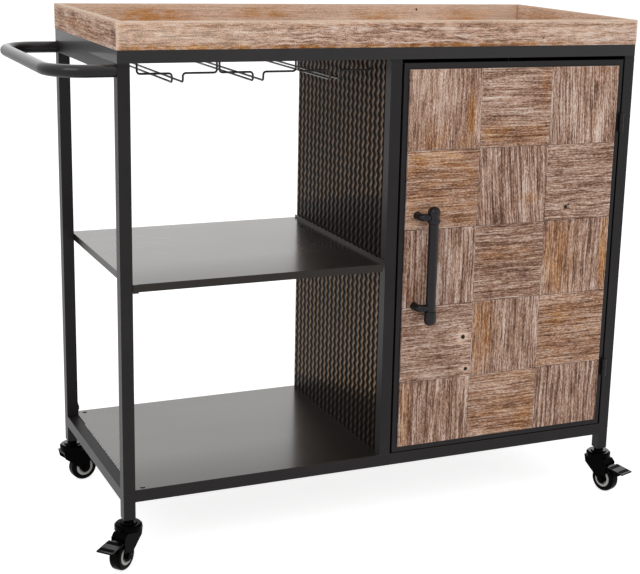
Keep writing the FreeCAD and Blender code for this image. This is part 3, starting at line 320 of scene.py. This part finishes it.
finishes = {
    "powder_coat": powderCoat("charcoal powder coat", "#171415", "#1e1a1b", 0.42, 0.2, handled=True),
    "shelf_sheet": shelfLacquer("black lacquered sheet"),
    "ridged_sheet": bronzeLacquer("bronze-black embossed sheet"),
    "rack_wire": powderCoat("black powder-coated wire", "#0a0909", "#100f0f", 0.28, 0.4, 1.6),
    "reclaimed_wood": brushedFir("brushed reclaimed fir"),
    # bare ply, dull, with its grain drawn out upright
    "backer_board": grained("birch plywood", "#9a7d5e", "#b7986f", 6, 0.7, 0.2, 0.3, stretch=22),
    # forged black with a soft, uneven glint
    "pull_iron": grained("blackened iron", "#120f12", "#1d191d", 2.4, 0.3, 0.35, 0.24),
    # dull black with a fine moulded spark
    "black_plastic": grained("moulded black nylon", "#0c0c0c", "#141414", 1.8, 0.5, 0.15, 0.25),
    # dark heads whose tops catch the light
    "black_screws": grained("black oxide steel", "#121111", "#1c1b1b", 1.5, 0.36, 0.15, 0.4, lacquered=True),
    # bright cold grey with a fine mottle
    "zinc": grained("zinc-plated steel", "#6c6b68", "#96948f", 2.5, 0.3, 0.1, 0.5, 1.0),
    # near black, lit only on its level faces
    "fork_steel": grained("black pressed steel", "#020202", "#050505", 2.0, 0.2, 0.08, 0.02, lacquered=True),
    "hub_plastic": hubPlastic("pale-rimmed moulded polypropylene"),
    # near black and soft
    "tyre_rubber": grained("black polyurethane tread", "#020202", "#060606", 1.6, 0.34, 0.12, 0.03),
}
print("materials", len(finishes))


def finished(shape, name, nodes, smoothAngle=35, slot=None):
    # turns a bmesh into a piece that stands for CAD nodes and rides with them
    mesh = bpy.data.meshes.new(name)
    shape.to_mesh(mesh)
    shape.free()
    for polygon in mesh.polygons:
        polygon.use_smooth = True
    mesh.set_sharp_from_angle(angle=math.radians(smoothAngle))
    piece = bpy.data.objects.new(name, mesh)
    bpy.context.scene.collection.objects.link(piece)
    slot = slot or slotOf[nodes[0]]
    mesh.materials.append(finishes[slot])
    piece.modifiers.new("flat faces lead the shading", "WEIGHTED_NORMAL").keep_sharp = True
    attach(piece, frame["nodes"][nodes[0]]["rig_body"])
    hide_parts(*nodes)


# solids whose outline is already right: their edges are eased, in millimetres
easedEdges = {
    "left_end_frame": 1.8, "right_end_frame": 1.8, "top_ring": 1.8, "front_bottom_rail": 1.6,
    "back_bottom_rail": 1.6, "divider_post": 1.6, "post_caps": 0.6, "leg_inserts": 0.5,
    "bottom_shelf": 0.4, "middle_shelf": 0.4, "cabinet_shelf": 0.4, "side_panel": 0.4, "back_panel": 0.4,
    "push_handle": 0.4, "stem_rack_left": 0.3, "stem_rack_middle": 0.3, "stem_rack_right": 0.3,
    "frame_bolts": 0.7, "shelf_screws": 0.5, "rack_screws": 0.5, "door_frame": 1.0, "door_backer": 0.6,
    "pull_bar": 0.5, "pull_arms": 0.5,
    "hinge_leg_knuckles": 0.6, "hinge_door_knuckles": 0.6, "hinge_pins": 0.3, "magnet_catch": 0.7,
    "strike_plate": 0.3, "caster_stems": 0.5, "front_left_pedal": 0.6, "front_right_pedal": 0.6,
}
for corner in corners:
    easedEdges.update({corner + "_fork": 0.7, corner + "_axle": 0.5, corner + "_hub": 0.6,
                       corner + "_tyre": 1.2})


jointOf = {joint["name"]: joint for joint in frame["record"]["behaviour"]["joints"]}
# coat on level faces where it is less than whole, and polish by hands on upright and on upper faces
glossShare = {"bottom_shelf": 0.86}
rubbedShare = {"push_handle": (0.08, 1.0), "top_ring": (0.25, 0.25)}
# rivets through the bottom shelf's side edges
rivets = {"places": [(-448.4, -106), (448.4, -106)], "size": (2.8, 2.8, 2.6), "deck": 133.2}
# polished treads raised on the pedals' plates, placed from the caster's stem along the pedal
treads = {"places": (41.5, 62.0), "size": (7.0, 26.0, 1.4), "pivot": (24, 55.25), "slope": 6 / 46,
          "edge": 0.4}


def addRivets(shape):
    for x, y in rivets["places"]:
        dome = Matrix.Translation(Vector((x, y, rivets["deck"])) * mm)
        dome = dome @ Matrix.Diagonal((*(Vector(rivets["size"]) * mm), 1))
        bmesh.ops.create_uvsphere(shape, u_segments=16, v_segments=10, radius=1, matrix=dome)


def addTreads(shape, corner):
    axle = Vector(jointOf[corner + "_roll"]["axis"])
    stem = Vector(jointOf[corner + "_swivel"]["pos_m"])
    out = Vector(jointOf[corner + "_roll"]["pos_m"]) - stem
    out.z = 0
    out.normalize()
    along = (out - Vector((0, 0, treads["slope"]))).normalized()
    turn = Matrix((along, axle, along.cross(axle))).transposed().to_4x4()
    start, height = treads["pivot"]
    for reach in treads["places"]:
        middle = stem + out * reach * mm
        middle.z = (height - (reach - start) * treads["slope"]) * mm
        bar = bmesh.new()
        bmesh.ops.create_cube(bar, size=1, matrix=Matrix.Translation(middle) @ turn
                              @ Matrix.Diagonal((*(Vector(treads["size"]) * mm), 1)))
        bmesh.ops.bevel(bar, geom=bar.edges[:], offset=treads["edge"] * mm, offset_type="OFFSET",
                        affect="EDGES", segments=2, profile=0.5, material=-1, clamp_overlap=True)
        mesh = bpy.data.meshes.new("tread")
        bar.to_mesh(mesh)
        bar.free()
        shape.from_mesh(mesh)
        bpy.data.meshes.remove(mesh)


def easeEdges(node, width, steps=2, sharp=32):
    # rounds the solid's sharp edges and keeps on its faces and points what its finish reads
    shape = bmesh.new()
    shape.from_mesh(frame["nodes"][node].data)
    bmesh.ops.remove_doubles(shape, verts=shape.verts, dist=weld)
    bmesh.ops.dissolve_limit(shape, angle_limit=math.radians(0.5), verts=shape.verts, edges=shape.edges)
    edges = [e for e in shape.edges if e.is_manifold and e.calc_face_angle(0) > math.radians(sharp)]
    bmesh.ops.bevel(shape, geom=edges, offset=width * mm, offset_type="OFFSET", affect="EDGES",
                    segments=steps, profile=0.5, material=-1, clamp_overlap=True)
    own = len(shape.faces)
    if node.endswith("_pedal"):
        addTreads(shape, node.removesuffix("_pedal"))
    flat = shape.faces.layers.float.new("flat")
    for index, face in enumerate(shape.faces):
        plate = node.endswith("_pedal") and index < own
        face[flat] = glossShare.get(node, 1.0) if abs(face.normal.z) > 0.9 and not plate else 0.0
    if node.endswith("_hub"):
        spoke = shape.verts.layers.float_vector.new("fromAxle")
        roll = jointOf[node.removesuffix("_hub") + "_roll"]
        axle, middle = Vector(roll["axis"]), Vector(roll["pos_m"])
        for v in shape.verts:
            arm = (v.co - middle) / mm
            v[spoke] = arm - axle * arm.dot(axle)
    if node in rubbedShare:
        polish = shape.faces.layers.float.new("polish")
        side, top = rubbedShare[node]
        for face in shape.faces:
            face[polish] = side + (top - side) * max(0, face.normal.z)
    if node == "shelf_screws":
        addRivets(shape)
    slot = "fork_steel" if node.endswith("_axle") else None
    finished(shape, node + "_eased", [node], slot=slot)


for node, width in easedEdges.items():
    easeEdges(node, width)
print("eased solids", len(easedEdges))

# caps turned on a lathe: heights from the lower end and radii, as shares of the cap's height and radius
pullCaps = {
    "pull_cap_upper": [(0, 0), (0, 0.84), (0.015, 0.93), (0.05, 1.0), (0.2, 1.0), (0.235, 0.96), (0.26, 0.87),
                       (0.46, 0.87), (0.49, 0.93), (0.56, 0.985), (0.64, 1.0), (0.72, 0.975), (0.8, 0.9),
                       (0.87, 0.78), (0.93, 0.6), (0.975, 0.36), (0.995, 0.15), (1, 0)],
    "pull_cap_lower": [(0, 0), (0.004, 0.2), (0.02, 0.42), (0.06, 0.62), (0.12, 0.79), (0.2, 0.91),
                       (0.3, 0.97), (0.42, 0.985), (0.84, 0.95), (0.87, 0.9), (0.9, 0.9), (0.91, 0.98),
                       (0.93, 1.0), (0.98, 1.0), (1, 0.97), (1, 0)],
}


def makeCap(node, profile, steps=40):
    low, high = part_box(node)
    centre, radius = (low + high) / 2, (high.x - low.x) / 2
    shape = bmesh.new()
    points = [shape.verts.new((centre.x + radius * share, centre.y, low.z + (high.z - low.z) * height))
              for height, share in profile]
    edges = [shape.edges.new(pair) for pair in zip(points, points[1:])]
    bmesh.ops.spin(shape, geom=points + edges, cent=centre, axis=(0, 0, 1), angle=2 * math.pi, steps=steps,
                   use_merge=True)
    bmesh.ops.remove_doubles(shape, verts=shape.verts, dist=weld)
    bmesh.ops.recalc_face_normals(shape, faces=shape.faces)
    finished(shape, node + "_turned", [node], 50)


for node, profile in pullCaps.items():
    makeCap(node, profile)
print("pull caps")

# embossed divider: upright ridges that snake from side to side on a flat backing sheet; painted shade darkens
# the crests just above each shelf, higher up towards the front, and the crests' painted highlight is
# brightest in the lower bay under the middle shelf
divider = {"pitch": 18.6, "wave": 16.0, "sway": 2.4, "relief": 1.9, "columns": 270, "rows": 290, "sheet": 1.1,
           "ground": 2.0, "flange": 14.0, "flangeInset": 0.6, "edge": 5.0, "dullBack": 30.0,
           "dullFront": 120.0, "dull": 0.34, "dullEdge": 0.35, "bare": 1.1, "turnDip": 0.06}


def makeDivider():
    low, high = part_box("wave_panel")
    width, height = high.y - low.y, high.z - low.z
    face = low.x + divider["ground"] * mm
    centre = (low + high) / 2
    shape = bmesh.new()
    turn = Matrix(((0, 0, -1, face), (-width, 0, 0, centre.y), (0, height, 0, centre.z), (0, 0, 0, 1)))
    bmesh.ops.create_grid(shape, x_segments=divider["columns"], y_segments=divider["rows"], size=0.5,
                          matrix=turn)
    crestLightAndShade = shape.verts.layers.float.new("crestLightAndShade")
    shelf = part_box("middle_shelf")[1].z
    for v in shape.verts:
        fade = min(1, (v.co.y - low.y) / (divider["edge"] * mm), (high.y - v.co.y) / (divider["edge"] * mm))
        snake = 2 * math.pi * v.co.z / (divider["wave"] * mm)
        swing = divider["sway"] * math.sin(snake)
        phase = ((v.co.y - low.y) / mm + swing) / divider["pitch"]
        rise = (0.5 - 0.5 * math.cos(2 * math.pi * phase)) * max(fade, 0)
        v.co.x -= divider["relief"] * mm * rise
        # painted shade: the crests darken just above each shelf and the panel's foot, over a height that
        # grows from back to front
        foot = shelf if v.co.z > shelf else low.z
        reach = divider["dullFront"] + (divider["dullBack"] - divider["dullFront"]) * (v.co.y - low.y) / width
        depth = (1 - (v.co.z - foot) / (reach * mm)) / divider["dullEdge"]
        footShade = divider["dull"] * min(1, max(0, depth))
        # painted light: the crests are a little dimmer where the ridge slants one way and lighter where it
        # slants the other
        turned = 1 - divider["turnDip"] + divider["turnDip"] * math.cos(snake)
        # the crest mask: a painted highlight along the ridge tops, brighter in the lower bay, less the
        # painted shade near the shelves
        v[crestLightAndShade] = rise * turned * (divider["bare"] if v.co.z < shelf else 1) - footShade
    for reach, depth, x, y in ((divider["sheet"], width, face + divider["sheet"] / 2 * mm, centre.y),
                               (divider["flange"], divider["sheet"] * mm, face + divider["flange"] / 2 * mm,
                                high.y - divider["flangeInset"] * mm)):
        slab = Matrix.Translation((x, y, centre.z)) @ Matrix.Diagonal((reach * mm, depth, height, 1))
        bmesh.ops.create_cube(shape, size=1, matrix=slab)
    finished(shape, "divider_embossed", ["wave_panel"], 60)


makeDivider()
print("divider")


def spots(places, u, v):
    # strongest of some soft spots: centre, reach and amount
    best = 0
    for cu, cv, ru, rv, amount in places:
        best = max(best, amount * math.exp(-((u - cu) / ru) ** 2 - ((v - cv) / rv) ** 2))
    return best


def addBoard(pile, low, high, along, across, thick, seed, look, steps, mitre=0.0):
    # a board with brushed relief on both faces, worn arrises, and its grain and tone kept on its points;
    # mitre is -1 or 1 for the side of its outer face, where the ends are longest
    size = high - low
    middle = (low + high) / 2
    shape = bmesh.new()
    bmesh.ops.create_cube(shape, size=1, matrix=Matrix.Translation(middle) @ Matrix.Diagonal((*size, 1)))
    for axis, step in ((along, steps[0]), (across, steps[1])):
        edges = [e for e in shape.edges if abs(e.verts[0].co[axis] - e.verts[1].co[axis]) > 1e-6]
        bmesh.ops.subdivide_edges(shape, edges=edges, cuts=max(1, round(size[axis] / (step * mm))),
                                  use_grid_fill=True)
    place = shape.verts.layers.float_vector.new("grainPlace")
    tone = shape.verts.layers.float_color.new("boardTone")
    lean = math.tan(math.radians(look.get("slant", 0)))
    first, second = sorted((along, across))
    for v in shape.verts:
        co = v.co.copy()
        u, w = ((co[a] - low[a]) / size[a] for a in (first, second))
        run, side = co[along] / mm * look.get("short", 1), co[across] / mm
        side += lean * (co[along] - middle[along]) / mm
        knot = 0
        for ku, kw, radius in look.get("knots", []):
            flat = Vector(((u - ku) * size[first], (w - kw) * size[second])) / mm
            near = flat.length / radius * (1 + 0.25 * noise.noise(Vector((flat.x, flat.y, seed))))
            knot = max(knot, 1 - 0.5 * near)
            side += 2.5 * math.exp(-(near / 3) ** 2) * (1 if flat[0 if across < along else 1] > 0 else -1)
        warm = spots(look.get("warm", []), u, w)
        wash = spots(look.get("wash", []), u, w)
        rim = [axis for axis in (along, across) if min(co[axis] - low[axis], high[axis] - co[axis]) < touch]
        v[place] = Vector((run, side + (co[thick] - low[thick]) / mm, seed * 7.3))
        rubbed = rim and not (mitre and co[across] - low[across] < touch)
        v[tone] = (0 if rubbed else min(1, look.get("warmth", 0.15) + warm),
                   min(1.6, look.get("paleness", 0.2) + wash + (look.get("rim", 0.2) if rubbed else 0)),
                   max(0, knot), look.get("band", 0.3))
        relief = 0.5 + 0.5 * noise.noise(Vector((run / 120, side / 4.0, seed)))
        for end, way in ((low, 1), (high, -1)):
            if abs(co[thick] - end[thick]) < touch:
                chip = 0.5 + 0.5 * noise.noise(Vector((run / 13, side / 13, seed + 3)))
                v.co[thick] += way * mm * max(0.3 * relief, 0.45 * chip if rim else 0)
                for axis in rim:
                    v.co[axis] += (0.2 * chip * mm) * (1 if co[axis] < middle[axis] else -1)
        if mitre:
            outer = low[thick] if mitre < 0 else high[thick]
            depth = abs(co[thick] - outer)
            half = size[along] / 2
            v.co[along] = middle[along] + (v.co[along] - middle[along]) * (half - depth) / half
    board = bpy.data.meshes.new("board")
    shape.to_mesh(board)
    shape.free()
    pile.from_mesh(board)
    bpy.data.meshes.remove(board)


# door tiles from the top row down; places run from the tile's lower left corner, 0 to 1
tileLooks = {
    "left": [
        {"band": 0.15, "paleness": 0.28, "wash": [(0.45, 0.9, 0.5, 0.35, 0.3), (0.94, 0.4, 0.04, 0.6, 0.5)],
         "warm": [(0.86, 0.4, 0.04, 0.32, 1.2), (0.35, 0.12, 0.2, 0.2, 0.5), (0.8, 0.1, 0.15, 0.2, 0.4)]},
        {"band": 0.1, "warmth": 0.52, "paleness": 0.3, "warm": [(0.3, 0.9, 0.6, 0.2, 0.2)]},
        {"band": 0.6, "paleness": 0.12, "warm": [(0.1, 0.2, 0.1, 0.4, 0.15)],
         "wash": [(0.75, 0.7, 0.1, 0.6, 0.35), (0.2, 0.5, 0.03, 0.6, 0.3)]},
        {"band": 0.2, "paleness": 0.1, "knots": [(0.88, 0.54, 4.6), (0.94, 0.1, 4.2)],
         "wash": [(0.88, 0.54, 0.13, 0.13, 1.5), (0.94, 0.1, 0.1, 0.1, 1.4)]},
        {"band": 0.5, "paleness": 0.14, "warm": [(0.07, 0.5, 0.07, 0.6, 0.6)],
         "wash": [(0.92, 0.9, 0.08, 0.2, 0.5)]},
    ],
    "middle": [
        {"band": 0.25, "paleness": 0.24, "wash": [(0.4, 0.68, 0.35, 0.16, 0.5), (0.75, 0.3, 0.12, 0.05, 0.5)],
         "warm": [(0.4, 0.16, 0.7, 0.14, 0.6), (0.92, 0.75, 0.08, 0.3, 0.5)]},
        {"band": 0.7, "slant": 5, "paleness": 0.12, "warm": [(0.8, 0.32, 0.2, 0.06, 0.4)],
         "wash": [(0.7, 0.5, 0.06, 0.6, 0.4), (0.12, 0.7, 0.05, 0.5, 0.4)]},
        {"band": 0.35, "warmth": 0.18, "paleness": 0.05, "warm": [(0.4, 0.6, 0.4, 0.1, 0.4)]},
        {"band": 0.3, "paleness": 0.16, "warm": [(0.14, 0.6, 0.16, 0.6, 0.65)],
         "wash": [(0.96, 0.35, 0.05, 0.5, 0.6), (0.5, 0.3, 0.05, 0.5, 0.3)]},
        {"band": 0.3, "warmth": 0.46, "paleness": 0.16, "wash": [(0.45, 0.78, 0.25, 0.14, 0.7)],
         "warm": [(0.85, 0.3, 0.2, 0.4, 0.2)]},
    ],
    "right": [
        {"band": 0.6, "slant": 3, "paleness": 0.24, "warm": [(0.7, 0.95, 0.3, 0.05, 0.3)],
         "wash": [(0.65, 0.4, 0.25, 0.5, 0.45), (0.75, 0.85, 0.2, 0.06, 0.7)]},
        {"band": 0.25, "paleness": 0.26, "knots": [(0.31, 0.17, 4.2), (0.35, 0.2, 2.6)],
         "wash": [(0.4, 0.16, 0.3, 0.1, 0.4)]},
        {"band": 0.3, "warmth": 0.15, "paleness": 0.16,
         "warm": [(0.22, 0.5, 0.25, 0.6, 0.6), (0.94, 0.5, 0.05, 0.5, 1.2)],
         "wash": [(0.66, 0.45, 0.1, 0.5, 0.55), (0.6, 0.04, 0.5, 0.05, 0.4), (0.91, 0.9, 0.06, 0.06, 0.8)]},
        {"band": 0.25, "warmth": 0.46, "paleness": 0.36, "warm": [(0.3, 0.7, 0.3, 0.15, 0.3)],
         "wash": [(0.35, 0.93, 0.3, 0.06, 0.4)]},
        {"band": 0.8, "paleness": 0.1, "wash": [(0.45, 0.88, 0.12, 0.08, 0.5)]},
    ],
}
tileGrid = {"steps": (2.6, 2.0), "joint": 0.6, "footRow": 0.86}


def makeTiles(column, label, looks):
    # full tiles from the top, the last row cut to what is left
    node = "door_tiles_" + label
    low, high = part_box(node)
    joint = tileGrid["joint"] * mm
    pitch = (high.z - low.z + joint) / (len(looks) - 1 + tileGrid["footRow"])
    shape = bmesh.new()
    for row, look in enumerate(looks):
        top = high.z - pitch * row
        foot = max(low.z, top - pitch + joint)
        along, across = (2, 0) if (row + column) % 2 == 0 else (0, 2)
        addBoard(shape, Vector((low.x, low.y, foot)), Vector((high.x, high.y, top)),
                 along, across, 1, 11 * column + row + 1, look, tileGrid["steps"])
    finished(shape, node + "_boards", [node], 50)


for column, (label, looks) in enumerate(tileLooks.items()):
    makeTiles(column, label, looks)
print("door tiles")

# tray boards: pale whitewash, warm wood in patches, arrises rubbed to cream
trayLooks = {
    "front": {"band": 0.3, "short": 2.6, "warmth": 0.24, "paleness": 1.02, "rim": 0.5,
              "warm": [(0.1, 0.04, 0.16, 0.13, 1.0), (0.32, 0.03, 0.1, 0.1, 1.0),
                       (0.62, 0.06, 0.24, 0.1, 1.0), (0.5, 0.82, 0.8, 0.05, 0.5),
                       (0.58, 0.5, 0.17, 0.6, 0.14)],
              "wash": [(0.08, 0.55, 0.2, 0.5, 0.28), (0.5, 1.0, 2.0, 0.09, 0.6), (0.0, 0.5, 0.006, 2.0, 0.6),
                       (0.86, 0.5, 0.1, 0.4, 0.22)],
              "knots": [(0.795, 0.3, 1.8)]},
    # the back and right walls, seen from inside the tray, are paler than the front and left: partly real
    # whitewash, partly painted light lifting their shaded inner faces
    "back": {"band": 0.3, "short": 1.6, "warmth": 0.1, "paleness": 1.4, "rim": 0.2,
             "warm": [(0.17, 0.45, 0.09, 0.4, 1.0), (0.41, 0.6, 0.07, 0.25, 0.9),
                      (0.66, 0.5, 0.05, 0.25, 0.8), (0.87, 0.45, 0.06, 0.3, 0.8)],
             "wash": [(0.5, 1.0, 2.0, 0.15, 0.2), (0.585, 0.5, 0.013, 2.0, 0.2),
                      (0.765, 0.5, 0.02, 2.0, 0.2), (0.95, 0.5, 0.08, 2.0, 0.2)],
             "knots": [(0.752, 0.78, 3.0)]},
    "left": {"band": 0.3, "short": 2.0, "warmth": 0.36, "paleness": 1.0, "rim": 0.5,
             "warm": [(0.6, 0.4, 0.3, 0.3, 0.4)], "wash": [(0.5, 1.0, 2.0, 0.1, 0.5)]},
    "right": {"band": 0.3, "short": 2.0, "warmth": 0.25, "paleness": 1.36, "rim": 0.24,
              "warm": [(0.75, 0.5, 0.2, 0.3, 0.6)], "wash": [(0.5, 1.0, 2.0, 0.1, 0.24)]},
}
traySteps = (5.0, 1.6)
trayFloor = {"planks": 4, "joint": 0.4, "steps": (9.0, 3.0)}


def makeTray():
    for index, (label, look) in enumerate(trayLooks.items()):
        node = f"tray_{label}_wall"
        low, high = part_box(node)
        along, thick = (0, 1) if label in ("front", "back") else (1, 0)
        shape = bmesh.new()
        addBoard(shape, low, high, along, 2, thick, 61 + 5 * index, look, traySteps,
                 -1 if label in ("front", "left") else 1)
        finished(shape, node + "_board", [node], 50)
    low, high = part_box("tray_floor")
    pitch = (high.y - low.y) / trayFloor["planks"]
    shape = bmesh.new()
    for plank in range(trayFloor["planks"]):
        look = {"band": 0.3 + 0.1 * plank, "warmth": 0.3, "paleness": 0.2,
                "wash": [(0.25 + 0.18 * plank, 0.5, 0.2, 0.6, 0.4)]}
        addBoard(shape, Vector((low.x, low.y + pitch * plank, low.z)),
                 Vector((high.x, low.y + pitch * (plank + 1) - trayFloor["joint"] * mm, high.z)),
                 0, 1, 2, 91 + plank, look, trayFloor["steps"])
    finished(shape, "tray_floor_boards", ["tray_floor"], 50)


makeTray()
print("tray")

# white studio: one soft key from the upper left front, a weak fill, and a pale floor
studio = {"ambient": 0.5, "floor": 30.0, "floorGlow": 0.75, "aim": (0, 0, 0.45),
          "lamps": {"key": ((-2.6, -2.6, 3.2), 2.4, 48), "fill": ((2.6, -3.0, 1.6), 2.0, 14)}}


def seenWhite(tree, rays):
    # 1 for the rays that show the white background, 0 for those that carry light
    path = addNode(tree, "LightPath")
    seen = path.outputs[rays[0]]
    for ray in rays[1:]:
        seen = addNode(tree, "Math", {0: seen, 1: path.outputs[ray]}, operation="MAXIMUM").outputs[0]
    return seen


def makeStudio():
    world = bpy.data.worlds.new("white studio")
    bpy.context.scene.world = world
    world.use_nodes = True
    tree = world.node_tree
    tree.nodes.clear()
    seen = seenWhite(tree, ["Is Camera Ray", "Is Glossy Ray", "Is Transmission Ray"])
    level = addNode(tree, "MapRange", {"Value": seen, "To Min": studio["ambient"], "To Max": 1.0})
    light = addNode(tree, "Background", {"Color": (1, 1, 1, 1), "Strength": level.outputs["Result"]})
    addNode(tree, "OutputWorld", {"Surface": light.outputs["Background"]})
    for name, (place, size, power) in studio["lamps"].items():
        lamp = bpy.data.lights.new(name, "AREA")
        lamp.energy = power
        lamp.size = size
        holder = bpy.data.objects.new(name, lamp)
        holder.location = place
        holder.rotation_euler = (Vector(studio["aim"]) - Vector(place)).to_track_quat("-Z", "Y").to_euler()
        bpy.context.scene.collection.objects.link(holder)
    material, tree, shader = newMaterial("white studio floor")
    place = addNode(tree, "TexCoord").outputs["Object"]
    paper = addNode(tree, "TexNoise", {"Vector": place, "Scale": 1 / (400 * mm), "Detail": 2.0})
    colour = addNode(tree, "ValToRGB", {"Fac": paper.outputs["Fac"]}, [(0.3, "#e6e6e6"), (0.7, "#ececec")])
    tree.links.new(colour.outputs["Color"], shader.inputs["Base Color"])
    shader.inputs["Roughness"].default_value = 0.9
    seen = seenWhite(tree, ["Is Camera Ray", "Is Glossy Ray"])
    glow = addNode(tree, "Math", {0: seen, 1: studio["floorGlow"]}, operation="MULTIPLY")
    shader.inputs["Emission Color"].default_value = (1, 1, 1, 1)
    tree.links.new(glow.outputs[0], shader.inputs["Emission Strength"])
    shape = bmesh.new()
    bmesh.ops.create_grid(shape, x_segments=2, y_segments=2, size=studio["floor"])
    mesh = bpy.data.meshes.new("floor")
    shape.to_mesh(mesh)
    shape.free()
    mesh.materials.append(material)
    floor = bpy.data.objects.new("floor", mesh)
    bpy.context.scene.collection.objects.link(floor)


makeStudio()

# camera matched to the frame's corners in the picture, whose middle is off the lens axis
camera = {"place": (-1.0412, -2.3354, 1.0563), "yaw": 25.687, "pitch": 14.234, "roll": 1.787,
          "focal": 1427.357, "axis": (381.737, 278.047), "picture": (640, 574)}


def makeCamera():
    width, height = camera["picture"]
    lens = bpy.data.cameras.new("camera")
    lens.sensor_width = 36
    lens.lens = camera["focal"] / width * lens.sensor_width
    lens.shift_x = (width / 2 - camera["axis"][0]) / width
    lens.shift_y = (camera["axis"][1] - height / 2) / width
    lens.clip_end = 200
    yaw, pitch, roll = (math.radians(camera[k]) for k in ("yaw", "pitch", "roll"))
    ahead = Vector((math.sin(yaw) * math.cos(pitch), math.cos(yaw) * math.cos(pitch), -math.sin(pitch)))
    right = Vector((math.cos(yaw), -math.sin(yaw), 0))
    up = right.cross(ahead)
    rolledRight = right * math.cos(roll) + up * math.sin(roll)
    rolledUp = up * math.cos(roll) - right * math.sin(roll)
    turn = Matrix((rolledRight, rolledUp, -ahead)).transposed().to_4x4()
    holder = bpy.data.objects.new("camera", lens)
    holder.matrix_world = Matrix.Translation(camera["place"]) @ turn
    bpy.context.scene.collection.objects.link(holder)
    bpy.context.scene.camera = holder


makeCamera()
bpy.context.scene.view_settings.view_transform = "Standard"
bpy.context.view_layer.update()
